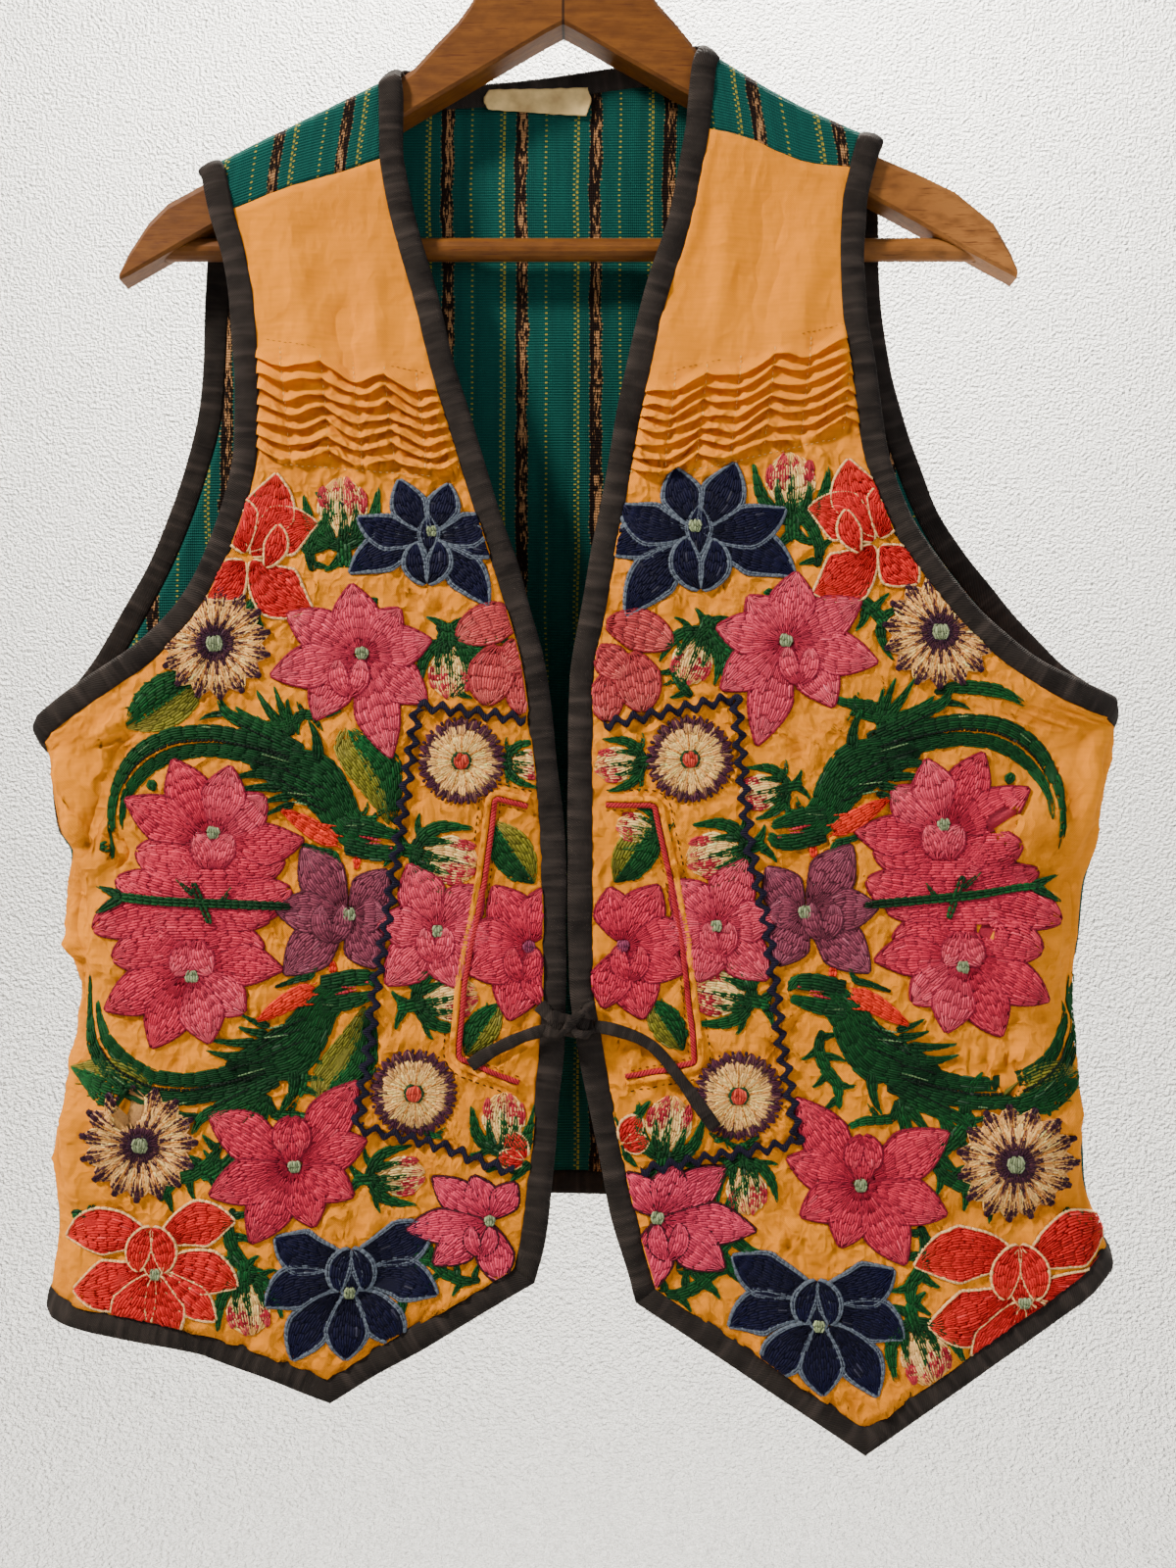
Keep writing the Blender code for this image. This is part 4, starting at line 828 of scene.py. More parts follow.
def radial(count, near, far, half, shape, layer, thread, start=0.0):
    """So many like patches all round a motif's centre."""
    turns = [(math.cos(a), math.sin(a)) for a in np.radians(start + 360.0 * np.arange(count) / count)]
    return worked(thread, shape, layer, *((near * x, near * z, far * x, far * z, half) for x, z in turns))


def cup(x, z, r, thread, up=1.0):
    """The small inner petals that stand round a flower's dot, and the line between them."""
    foot, head = z - up * 1.25 * r, z + up * 0.75 * r
    return worked(thread, "broad", 2, *((x, foot, x + way * 0.55 * r, head, 0.55 * r, -way * up * 0.30 * r)
                                        for way in (-1, 1)))


def plume(thread, layer, *stations):
    """One long bent patch through stations of place and half width."""
    half = max(one[2] for one in stations)
    return [(*stations[0][:2], *stations[-1][:2], half, 0.0, stations, layer, thread)]


def dot(thread="dot", r=3.2):
    """The round dot at a motif's centre."""
    return worked(thread, "round", 3, (0.0, -r, 0.0, r, r))


def set_out(*rows):
    """Where motifs lie: motif, out, height, then turn, size, flip_out and flip_up, left off where usual."""
    usual = (0, 1, 1, 1)
    return table("motif out z turn size flip_out flip_up", [(*row, *usual[len(row) - 3:]) for row in rows])

# %% [markdown]
# ### Motifs
# In each motif the first coordinate is outwards from the centre front and the second is up, from the
# flower's dot or the leaf's foot, so that the two fronts mirror one another as the real ones do.

# %% Motifs
LEAF_BULGES = [math.sin(math.pi * (0.2 + 0.15 * i)) for i in range(5)]
MOTIFS = {
    "lotus": [
        *petals("navy", "point", (4, -20, -31, -41, 9, -4), (6, -20, 45, -23, 9.5, 5),
            (-5, -12, -41, -13, 8.5, -4), (-4, -6, -34, 10, 8.5, 4), (8, -6, 41, 8, 8.5, -4),
            (8, -2, 18, 29, 8.5, -2), (-1, 0, -9, 27, 8, 1)),
        *worked("navy", "petal", 2, (2, -30, -3, -5, 7.5, 4), (3, -30, 8, -6, 7, -4)),
        *worked("navy", "point", 1, (1.5, -14, 2, 10, 6.5)), *dot(),
    ],
    "hanging_lotus": [
        *worked("navy", "broad", 1, (0, -3, -1, 22, 7)),
        *worked("navy", "blunt", 0, (-3, 19, -44, 35, 12, 3), (3, 19, 38, 29, 12, -4),
            (-5, 6, -46, -1, 11.5, -5), (5, 5, 43, -7, 11.5, 5)),
        *worked("navy", "blunt", 1, (-3, 0, -26, -29, 11, -3)),
        *worked("navy", "blunt", 0, (5, 0, 29, -35, 11, 3)),
        *worked("navy", "blunt", 1, (0, 0, 2, -35, 11.5)), *cup(-1, 9, 11, "navy", -1), *dot(),
    ],
    "star": [
        *petals("rose", "point", (0, -6, -13, -47, 8.5), (6, -5, 21, -30, 8.5, 2), (-6, -4, -29, -22, 8.5),
            (-6, 0, -31, 6, 8), (8, -2, 41, -10, 8.5), (6, 2, 34, 18, 8.5), (-4, 3, -17, 20, 8),
            (2, 2, 5, 31, 9)),
        *cup(6, -9, 8.5, "rose"), *dot(),
    ],
    "hanging_star": [
        *petals("pink", "point", (-4, 6, -29, 39, 9), (6, 6, 39, 24, 9.5), (-8, 5, -33, 12, 8),
            (-6, -2, -27, -14, 8), (-2, -6, -9, -28, 8), (5, -5, 20, -35, 9), (8, 0, 38, -13, 9)),
        *cup(1, 13, 8, "pink", -1), *worked("pink", "broad", 1, (1, 0, 1, 22, 6)), *dot(),
    ],
    "big": [
        *worked("pink", "stem", 0, (-17, -24, 18, -24, 9.5)),
        *worked("pink", "broad", 0, (3, -31, 46, -21, 10.5, -3), (0, -31, -36, -26, 10.5, 3),
            (4, -12, 37, -8, 10.5, -2), (-3, -12, -33, -12, 10, 2)),
        *worked("pink", "point", 1, (5, -4, 41, 16, 10.5), (-5, -4, -42, -3, 9.5, 2)),
        *worked("rose", "petal", 1, (-3, -2, -24, 17, 10.5)),
        *worked("pink", "point", 1, (3, 0, 19, 34, 11)), *worked("rose", "point", 2, (-1, 1, -8, 31, 10.5)),
        *worked("rose", "broad", 2, (3, -17, 9, -1, 6.2, 2), (-3, -17, -9, -1, 6.2, -2)),
        *worked("pink", "broad", 0, (7, -22, 20, -8, 7)), *dot(),
    ],
    "mauve": [
        *petals("mauve", "point", (-4, -4, -17, 20, 8), (6, 4, 21, 30, 9), (8, -4, 29, -27, 9),
            (-3, -6, -12, -24, 8), (-4, 0, -17, 0, 7), (8, 0, 33, 2, 8)),
        *cup(8, -2, 8.5, "mauve"), *dot(),
    ],
    "red": [
        *worked("red", "broad", 1, (0, -3, -2, 24, 7)),
        *worked("red", "blunt", 0, (-3, 18, -51, 17, 13, -5), (3, 17, 43, 29, 12.5, 4),
            (-4, 5, -45, -10, 13.5, 4), (4, 4, 44, -7, 12, 4)),
        *worked("red", "blunt", 1, (-2, 0, -24, -33, 12, 2), (1, 0, 12, -34, 11.5, -2)),
        *worked("red", "blunt", 0, (3, 1, 33, -24, 9)), *cup(-2, 10, 12, "red", -1), *dot(),
    ],
    "armhole_red": [
        *petals("red", "point", (-4, -6, -29, -24, 10.5, 4), (-4, -2, -31, 14, 10, -4),
            (0, 4, -12, 37, 10, 3), (4, 2, 10, 30, 9), (4, -8, 18, -20, 9)),
        *worked("red", "petal", 2, (-8, -6, -14, 14, 5.5, 2)),
    ],
    "salmon": [
        *worked("salmon", "broad", 1, (11, 4, 16, -21, 9.5, 1)),
        *worked("salmon", "broad", 0, (1, -5, 1.5, -25, 7), (1, 16, 29, 7, 8.5, 2)),
        *worked("salmon", "broad", 1, (-3, 6, 10, -6, 7)),
    ],
    "small_pink": [
        *petals("rose", "point", (2, 4, 13, 30, 9), (-3, 3, -20, 20, 8.5), (4, -4, 23, -24, 9),
            (-3, -4, -8, -25, 8.5), (4, 0, 27, 4, 8), (-4, 0, -24, -3, 8)),
        *cup(1, -4, 8, "rose"), *dot("dot", 2.8),
    ],
    "dark_pink": [
        *petals("maroon_pink", "point", (-2, 3, -14, 20, 7), (2, 4, 9, 24, 7.5), (4, 3, 31, 22, 8),
            (6, -2, 45, -6, 8), (5, -5, 30, -24, 8.5), (-1, -6, -5, -35, 8.5)),
        *cup(5, -9, 8.5, "maroon_pink"), *dot(),
    ],
    "inset_flower": [
        *petals("pink", "point", (2, 5, 16, 27, 9), (-3, 5, -6, 26, 8), (3, -6, 9, -33, 9.5),
            (6, 0, 30, 6, 8.5), (5, -3, 27, -12, 9), (-3, -5, -9, -28, 8)),
        *cup(3, -6, 8, "pink"), *dot("mauve_dot", 3),
    ],
    "daisy": [
        *radial(20, 2, 21, 3.8, "blunt", 0, "dusk"), *radial(11, 3, 14.5, 1.9, "petal", 1, "cream", 8),
        *radial(13, 4.5, 14.5, 0.6, "claw", 2, "amber", 9),
        *radial(20, 20.6, 11.5, 0.9, "claw", 2, "stroke", 8.2), *dot("red_dot", 4),
    ],
    "tufted": [
        *radial(15, 3, 27.5, 7, "blunt", 0, "tuft"), *radial(15, 8, 22, 2.2, "petal", 1, "cream", 12),
        *radial(17, 3, 17, 2, "claw", 2, "stroke", 10.6), *radial(15, 28, 18, 1.8, "claw", 2, "stroke", 0),
        *radial(30, 25, 16, 0.8, "claw", 2, "stroke", 6), *radial(20, 10, 23, 0.8, "claw", 2, "amber", 3),
        *dot("dot", 4.2),
    ],
    "bud": [
        *worked("cream", "broad", 0, (0, 2, -1, 31, 12)),
        *worked("fleck", "petal", 1, (-4, 12, -3, 31, 3.4, 1), (6, 14, 8, 28, 3, -1),
            (-10, 12, -10, 25, 2.6), (1.5, 20, 2, 29, 1.8)),
        *worked("stroke", "claw", 2, (-1, 16, -1, 27, 0.6)),
        *plume("green", 1, (-1, -2, 2.8), (-9, 2, 3.5), (-15, 11, 3), (-18, 25, 0.7)),
        *plume("green", 1, (1, -2, 3), (9, 1.4, 3.6), (15, 10, 3.1), (17, 24, 0.7)),
        *worked("green", "claw", 2, (-4, 1, -6.8, 18, 2.4, 1), (0, 0, 0.6, 20, 2.5, 1),
            (5, 1, 7.8, 17, 2.4, -1)),
        *worked("green", "claw", 1, (-7, 2, -20, 3, 2.1, 2), (7, 1, 19, -3, 2.1, -2),
            (-1, -8, -11, -15, 2.4, 1), (1, -6, 10, -13, 2.4, -1)),
        *worked("green", "stem", 1, (0, 3, 0, -12, 2.8)),
    ],
    "leaf": [
        *worked("green", "half", 0, (0, 0, 5, 44, 6.4, -6.4)),
        *worked("olive", "half", 0, (0, 0, 5, 44, 6, 6)), *worked("green", "stem", 1, (0, 0, 4, 40, 0.9)),
        *worked("green", "claw", 1, *((3 + 9 * bulge, 6 + 7 * i, 8 + 8 * bulge, 11 + 7 * i, 1.2)
                                      for i, bulge in enumerate(LEAF_BULGES))),
    ],
    "thorn": [
        *worked("green", "stem", 1, (0, 0, 16, 26, 3.1, 3)),
        *worked("green", "claw", 1, (13, 22, 34, 34, 3, -3), (2, 6, -10, 15, 2.8, 1),
            (6, 12, 21, 8, 2.8, 2), (12, 22, 3, 35, 2.8, 2), (9, 16, -5, 25, 2.5, 1)),
    ],
    "spray": [
        *plume("green", 1, (0, 0, 1.8), (3, 10, 3), (1, 20, 3.3), (-4, 30, 3), (-3, 42, 1.2)),
        *worked("green", "claw", 1, (2, 8, 13, 14, 2.2, 1), (1, 14, -10, 18, 2.2, 1),
            (0, 22, 10, 29, 2.2, 1), (-3, 28, -14, 31, 2.2, -1), (-3, 36, 6, 42, 2), (0, 4, -9, 3, 2)),
    ],
    "strand": plume("green", 1, (0, 0, 1.5), (12, 2.5, 3.2), (28, 1, 3.4), (43, -6, 1)),
    "curl": [
        *worked("green", "stem", 1, (0, 0, 7, 8, 1.5, 3), (7, 8, 1, 9, 1.3, 3)),
        *worked("green", "claw", 1, (1, 9, 2, 4, 1.1, 1)),
    ],
    "seed": worked("green", "petal", 1, (0, -3, 0, 3.2, 2.2)),
    "twig": [
        *worked("feather", "stem", 5, (-44, -4, 44, 4, 1.7)),
        *worked("feather", "claw", 5, (37, 3.4, 49, 10, 2.2), (37, 3.4, 49, -3, 2.2)),
        *worked("feather", "stem", 5, (4, 10, -3, -10, 1.5)),
        *worked("feather", "claw", 5, (4, 4, 12, 12, 1.3), (-8, -1, -14, 7, 1.3)),
    ],
    "half_red": [
        *worked("red", "broad", 1, (0, 0, 9, 12, 5.5), (1, -2, 13, 1, 5)),
        *worked("green", "claw", 1, (-2, 6, -6, 16, 2.2), (6, 10, 14, 20, 2.4), (-2, -2, 8, -12, 2.4)),
    ],
    # The bird's head end is the origin; its tail runs outwards and turns down at the end. A two-coloured
    # leaf stands over its neck and a thorny sprig over its back.
    "bird": [
        *plume("feather", 1, (42, 39, 4.2), (57, 45.5, 4.2), (72, 49.4, 3.6), (87, 51.8, 3.4),
            (100, 51, 3.4), (113, 46.4, 3.4), (123, 38.6, 3.3), (129.8, 27, 2.9), (132.6, 16, 2.3),
            (132.6, 3, 1.7), (132, -8, 1.2)),
        *plume("feather", 0, (42, 33, 5.4), (57, 37.7, 4.8), (72, 41.6, 3.7), (86, 43.4, 3.4),
            (99, 42.2, 3.4), (111, 37.4, 3.4), (119.2, 30.6, 3.1), (124.8, 22.6, 2.5), (127.2, 15, 1.8),
            (127.8, 6, 1)),
        *plume("feather", 2, (43, 43, 3.2), (56, 49, 3.4), (68, 55, 3.2), (79, 61, 2.4), (83, 69, 0.7)),
        *plume("feather", 2, (68, 37.5, 3), (52, 34.5, 10), (38, 29.5, 13), (29.5, 20, 10.5),
            (24.5, 11, 8.8), (17, 3.6, 7.6), (11, 1, 4)),
        *plume("feather", 3, (25, 9, 3.8), (17, 8, 4.2), (9, 6.4, 3.8), (-2, 3.2, 1.8)),
        *plume("feather", 3, (24, -1, 4), (15, -2.8, 4.2), (8, -4.2, 4.2), (1, -4.4, 3.4), (-3, 0.6, 1.3)),
        # Very dark hollow strokes between the tail's strands and across the body: painted shade in the gaps
        # between feathers.
        *plume("hollow", 3, (44, 36, 0.5), (57, 41.6, 0.6), (72, 45.7, 0.6), (86, 47.8, 0.6),
            (100, 46.9, 0.6), (112, 42.3, 0.6), (121.6, 34.8, 0.5), (127.6, 24.6, 0.4)),
        *worked("hollow", "stem", 4, (52, 35, 31, 25, 0.5, 1), (55, 30.6, 33, 19.6, 0.5, 1),
            (51, 26, 30, 14.4, 0.5, 1), (66, 38.6, 47, 34.4, 0.5, 1), (49, 39.6, 60, 44, 0.5),
            (56, 47, 74, 56, 0.5)),
        *plume("breast", 3, (53.5, 16, 0.7), (46, 11.5, 3.4), (38, 6.5, 4.6), (31, 2.6, 4.4),
            (26, 0.4, 1.6)),
        *plume("feather", 2, (45, 0.4, 0.8), (34, -3.4, 1.6), (28.6, -4.8, 1.8), (25.4, -11, 0.6)),
        *worked("feather", "claw", 3, (54, 31, 77, 29.4, 2.5, 2), (52, 25.6, 76, 24.4, 2.2, 1),
            (48, 21.6, 62.5, 18.2, 2, 1), (47, 18, 60.5, 12.6, 1.7, 1), (36.5, 38, 40.8, 57.5, 2.6, 2)),
        *worked("feather", "claw", 2, (80, 60, 91.4, 57, 1.6, 1)),
        *worked("breast", "claw", 4, (38, 8.6, 26.6, 8, 1.1), (38, 5.4, 24, 3.2, 1.1),
            (36, 2.4, 24.6, -2.2, 1.1)),
        *worked("breast", "petal", 1, (17.8, -4.4, 18.4, -12.2, 2)),
        *worked("fleck", "petal", 4, (17, 3.6, 6.4, 1.2, 0.7), (14, 0.2, 7, 0, 0.6)),
        *worked("fleck", "round", 4, (3.4, -2, 0.8, -2.2, 0.7)),
        *worked("pale", "stem", 4, (50, 23.6, 38.5, 22.2, 0.4), (48, 19.4, 40.5, 17.8, 0.4),
            (62, 41.4, 49, 37.6, 0.35)),
        *worked("pale", "stem", 3, (90, 54, 85, 53.6, 0.4), (119, 42, 114, 46, 0.35)),
        *worked("pale", "stem", 4, (23, 8.2, 14, 8.8, 0.35)),
        *worked("green", "claw", 1, (48.6, 50, 75, 63.6, 3.3, -2), (49, 50, 65.4, 72, 2.7, -1),
            (48.6, 50, 56.6, 73, 2.3), (48, 50, 50.6, 68, 2.1), (38, 58, 34, 51.6, 1.5)),
        *plume("green", 1, (48, 52, 1.6), (44.6, 59.4, 2.4), (34, 60, 2.3), (25, 63, 1.4)),
    ],
    "neck_leaf": [
        *plume("olive", 0, (3, 8.6, 0.8), (9, 22, 4.6), (18, 36, 6.4), (24.4, 46, 4.6), (23.4, 54, 1.4)),
        *plume("green", 0, (0.6, 8.6, 0.8), (2.4, 22, 5.2), (5, 36, 7.6), (12, 44, 5.6), (21, 53.4, 1.2)),
        *worked("green", "stem", 1, (2, 9.4, 22.6, 53.4, 0.8)),
    ],
}

# Flowers are worked last, so they lie over the stems and leaves beside them.
for name in ("lotus", "hanging_lotus", "star", "hanging_star", "big", "mauve", "red", "armhole_red",
             "salmon", "small_pink", "dark_pink", "inset_flower", "daisy", "tufted", "twig"):
    MOTIFS[name] = [(*patch[:7], patch[7] + 2, patch[8]) for patch in MOTIFS[name]]

# Where the motifs lie: out from the centre line and height, turn in degrees (towards up from
# outwards), size, and -1 where a motif is flipped sideways or upside down.
PLACES = {
    "left": set_out(
        ("daisy", 46.7, -475.8), ("daisy", 68.8, -629.2, 9), ("tufted", 161, -421.5, 0, 0.95),
        ("tufted", 195, -653, 10, 0.98), ("bird", 77, -514), ("bird", 88, -580, 0, 1, 1, -1),
        ("neck_leaf", 77, -514), ("neck_leaf", 88, -580, 0, 1, 1, -1), ("big", 161.3, -508.9),
        ("big", 171, -575.4, 0, 1, 1, -1), ("twig", 166, -541.4, -3), ("mauve", 98.6, -546.6),
        ("lotus", 60.8, -369.2, 0, 0.82), ("star", 92.8, -425.9), ("armhole_red", 146, -380),
        ("bud", 102, -374, -4), ("bud", 53, -421, 175, 0.85), ("salmon", 17, -427, 0, 1.1),
        ("leaf", 165, -436, -130, 1, -1), ("leaf", 188, -630, -68, 0.9),
        ("hanging_star", 124, -663, 0, 0.98), ("dark_pink", 33.5, -688, 0, 0.84),
        ("red", 188, -713, 0, 0.86, -1), ("hanging_lotus", 99, -722, 0, 0.9), ("bud", 147, -716, 172, 0.85),
        ("bud", 88, -669, 86, 0.8), ("small_pink", 57.7, -554.4), ("bud", 66.8, -518, 102, 0.95),
        ("bud", 66, -588, 78, 0.9), ("bud", 27.5, -655, 0, 0.85), ("half_red", 17, -659.5),
        ("inset_flower", 15.4, -561.5), ("leaf", 13, -532.5, -28, 0.8), ("leaf", 44.9, -611.9, 40, 0.65),
        ("thorn", 58, -412, 150, 0.8), ("thorn", 134, -398, -100, 0.8), ("thorn", 60, -700, -110, 0.9),
        ("thorn", 150, -655, 20, 0.7, 1, -1), ("curl", 217, -681, 20, 1.2, 1, -1), ("curl", 205, -520, -20),
        ("seed", 88, -402, 70, 0.9), ("seed", 141, -352, 20, 1.2), ("seed", 122, -470, 40),
        ("seed", 190, -487, -30), ("seed", 204, -588, 30), ("seed", 185, -600, -60),
        ("thorn", 205, -625, 150, 0.7), ("spray", 152, -682, 178, 0.95, -1),
        ("spray", 158, -652, 222, 0.95), ("spray", 38, -716, -78, 0.8), ("spray", 78, -640, 110, 0.6),
        ("spray", 116, -388, 8, 0.9), ("spray", 118, -452, -120, 0.7), ("thorn", 52, -446, 60, 0.6),
        ("thorn", 100, -500, 130, 0.5), ("bud", 25, -476, 96, 0.6), ("thorn", 122, -610, -30, 0.7, 1, -1),
    ),
    "right": set_out(
        ("daisy", 59, -475, 4), ("daisy", 81.5, -630.5, 0, 1.02), ("tufted", 175, -416, 5, 0.97),
        ("tufted", 209.5, -662, 0, 1.02), ("bird", 98, -509), ("bird", 107, -582, 0, 1, 1, -1),
        ("bud", 103, -488, 100, 0.7), ("spray", 120, -600, 188, 0.9), ("big", 176, -505, 0, 0.98),
        ("big", 185, -571, 0, 0.98, 1, -1), ("twig", 181, -538.6), ("mauve", 112, -545.5),
        ("lotus", 61.6, -366.5), ("star", 103.4, -420), ("armhole_red", 146, -373), ("bud", 107, -362),
        ("bud", 64.7, -417.3, 158, 0.8), ("salmon", 19, -430, 0, 1.1), ("strand", 172, -444),
        ("leaf", 203, -632, -68, 0.9), ("hanging_star", 138, -671.9), ("dark_pink", 43.8, -686.7),
        ("red", 213.6, -726), ("hanging_lotus", 118.8, -737.3, 0, 0.92), ("bud", 163, -737, 197, 0.95),
        ("bud", 84, -662, 185, 0.8), ("small_pink", 71, -552), ("bud", 84, -516, 102, 0.9),
        ("bud", 86, -586, 78, 0.9), ("bud", 47, -658, -10, 0.9), ("half_red", 27, -652),
        ("inset_flower", 28, -561), ("leaf", 24, -532, -28, 0.8), ("leaf", 56, -610, 40, 0.65),
        ("thorn", 66, -408, 10, 0.9, 1, -1), ("thorn", 132, -398, -100, 0.8),
        ("thorn", 52.6, -711.6, -84, 1.2, -1), ("thorn", 167, -659, -80, 1, -1),
        ("curl", 234.8, -684.4, 20, 1.2, 1, -1), ("seed", 96, -398, 70, 0.9), ("seed", 150, -344, 20),
        ("seed", 140, -468, 40), ("seed", 207, -484, -30), ("seed", 219, -584, 30),
        ("seed", 200, -598, -60), ("thorn", 224, -628, 150, 0.7), ("spray", 165, -690, 180, 1, -1),
        ("spray", 170, -658, 228), ("spray", 44, -722, -78, 0.95), ("spray", 92, -642, 110, 0.6),
        ("spray", 118, -386, 8, 0.9), ("spray", 132, -448, -120, 0.7), ("thorn", 60, -446, 60, 0.6),
        ("thorn", 118, -497, 130, 0.5), ("bud", 36, -476, 96, 0.7), ("bud", 43, -508, 80, 0.6),
    ),
}

# %% [markdown]
# ### Where the cloth is stitched over
# Dense stitches stiffen the cotton: it lies flat and proud beneath them and puckers in between. So a
# chart with a 2 mm mesh, on girth and height, says how far each place is stitched over, from 0 to 1.

# %% Patch places and the chart
LEAFY = {"green", "feather"}
LEAFY_FULLNESS = 1.3  # their patches are this much wider than in the tables


def along_plume(stations, s):
    """Spine, direction and half width at shares s of a plume, by a smooth curve through its stations."""
    x, y, half = np.array(stations, float).T
    reach = np.concatenate([[0], np.cumsum(np.hypot(np.diff(x), np.diff(y)))])
    reach = reach / reach[-1]

    def at(share):
        return np.stack([smooth(share, reach, x), smooth(share, reach, y)], axis=-1)

    s = np.clip(s, 0, 1)
    way = at(np.clip(s + 0.01, 0, 1)) - at(np.clip(s - 0.01, 0, 1))
    ends = np.clip(np.minimum(s, 1 - s) * 30, 0, 1) ** 0.5
    return at(s), way, np.interp(s, reach, half) * ends


def share_of(patch, s):
    """The share of its greatest half width that a patch has at s."""
    if isinstance(patch[6], tuple):
        return along_plume(patch[6], s)[2] / patch[4]
    return WIDTHS[patch[6]](s)


def patch_place(patch, s, t):
    """A place in a patch, and the direction across it: along the chord, moved aside by bend x 4s(1-s),
    then t half widths to the side of the spine."""
    root, tip = np.array(patch[0:2], float), np.array(patch[2:4], float)
    half, bend, shape = patch[4:7]
    if isinstance(shape, tuple):
        spine, way, half = along_plume(shape, s)
        turned = unit(np.stack([-way[..., 1], way[..., 0]], axis=-1))
        return spine + turned * (t * half)[..., None], turned
    if patch[8] in LEAFY and shape != "half":
        half = half * LEAFY_FULLNESS
    chord = tip - root
    length = np.hypot(*chord)
    across = np.array([-chord[1], chord[0]]) / length
    spine = root + chord * s[..., None] + across * (bend * 4 * s * (1 - s))[..., None]
    way = chord + across * (bend * 4 * (1 - 2 * s))[..., None]
    turned = unit(np.stack([-way[..., 1], way[..., 0]], axis=-1))
    return spine + turned * (t * half * WIDTHS[shape](np.clip(s, 0, 1)))[..., None], turned


def onto_front(place, at):
    """A motif's local places turned, sized and flipped, as out and height on the front."""
    cos, sin = math.cos(math.radians(place["turn"])), math.sin(math.radians(place["turn"]))
    x, z = np.moveaxis(at * np.array([place["flip_out"], place["flip_up"]]) * place["size"], -1, 0)
    return np.stack([place["out"] + x * cos - z * sin, place["z"] + x * sin + z * cos], axis=-1)


CHART_STEP = 2.0
CHART_LOW = np.array([-20.0, -840.0])
CHART_SHAPE = np.array([160, 280])


def placed(side):
    """Each motif's place on a side, one after the other."""
    rows = PLACES[side]
    return [{key: rows[key][i] for key in rows} for i in range(len(rows["motif"]))]


def chart_of(side):
    """The chart of a front: patches marked point by point, then blurred over about 5 mm."""
    chart = np.zeros(CHART_SHAPE)
    for place in placed(side):
        for patch in MOTIFS[place["motif"]]:
            length = math.dist(patch[:2], patch[2:4]) * place["size"]
            s, t = np.meshgrid(np.linspace(0.02, 0.98, 4 + int(length)),
                               np.linspace(-0.9, 0.9, 3 + int(patch[4] * 2)), indexing="ij")
            at = onto_front(place, patch_place(patch, s, t)[0])
            at[..., 0] = girth_at(side, at[..., 0], at[..., 1])
            cell = np.round((at - CHART_LOW) / CHART_STEP).astype(int).reshape(-1, 2)
            cell = np.clip(cell, 0, CHART_SHAPE - 1)
            chart[cell[:, 0], cell[:, 1]] = 1.0
    return np.clip(local_mean(local_mean(chart, 1, 1), 1, 1), 0, 1)


CHARTS = {side: chart_of(side) for side in SIDES}


def stitched_over(side, girth, z):
    """The chart read between its points, in proportion to the distances."""
    at = (np.stack(np.broadcast_arrays(girth, z), axis=-1) - CHART_LOW) / CHART_STEP
    at = np.clip(at, 0, CHART_SHAPE - 1.001)
    i, j = np.moveaxis(at.astype(int), -1, 0)
    over_i, over_j = np.moveaxis(at - at.astype(int), -1, 0)
    chart = CHARTS[side]
    return ((1 - over_i) * ((1 - over_j) * chart[i, j] + over_j * chart[i, j + 1])
            + over_i * ((1 - over_j) * chart[i + 1, j] + over_j * chart[i + 1, j + 1]))

# %% [markdown]
# ## Relief of the fronts
# The cotton was tucked before it was embroidered: seven narrow folds were sewn across each front,
# then upright lines of stitching pushed them down and up by turns, so each fold's edge runs in waves.
# Below, the dense stitches have drawn the cloth into shallow puckers and folds.

# %% Surface of a front
TUCK_LIFT = 4.4
TUCK_DROOP = 0.72  # a lip leans this share of its height downwards
TUCK_WAVE = 0.44  # how far a tuck's edge is pushed up or down, in tucks
LIP_START, LIP_END, LIP_FALL = 0.62, 0.66, 0.16  # shares of a tuck: where its lip is, and its fall
DRAWN_IN = 0.35  # how much lower a tuck is on a line of stitching
CLOTH_LIFT = 1.3  # outer face of the cloth over its inner face
CREASES = ((26, 21, 1, 2.6), (14, 22, 0.7, 1.3))  # size in mm, seed, squeeze of the height, mm high
CREASE_SHARPNESS = 2.4


def across_front(side, girth, z):
    """Share of the way from a front's front edge to its outer edge."""
    edge = front_edge(side, z)
    return np.clip((girth - edge) / (front_outer(side, z) - edge), 0, 1)


def level_z(side, level, share):
    """Height of a level this share of the way across a front: 1 is the tuck band's top, 2 its foot."""
    return blend(FRONT_LEVELS[side]["z_edge"][level], FRONT_LEVELS[side]["z_outer"][level], share)


def tucks(side, girth, z):
    """Height of the tucks. The distance down the band, counted in tucks and shifted by a wave that turns
    at the upright stitch lines, gives a rise to a lip and a steep fall below it."""
    share = across_front(side, girth, z)
    top, foot = level_z(side, 1, share), level_z(side, 2, share)
    down = (top - z) / (top - foot) * TUCKS
    lines = np.array(TUCK_STITCHES[side], float)
    phase = np.interp(girth + (down - 3.5) * 0.8, lines, np.arange(len(lines)))
    wave = (np.abs(phase % 2 - 1) * 2 - 1) * (1 + 0.35 * np.sin(down * 1.9 + girth * 0.06))
    shifted = down + TUCK_WAVE * wave + 0.07 * np.sin(girth * 0.31 + down)
    inside = (shifted > 0) & (shifted < TUCKS)
    part = shifted % 1.0
    rise = np.clip(part / LIP_START, 0, 1) ** 2.2
    fall = np.clip((part - LIP_END) / LIP_FALL, 0, 1)
    drawn_in = 1 - DRAWN_IN * np.exp(-(((phase % 1.0 + 0.5) % 1.0 - 0.5) / 0.10) ** 2)
    return np.where(inside, TUCK_LIFT * rise * (1 - fall * fall * (3 - 2 * fall)) * drawn_in, 0.0)


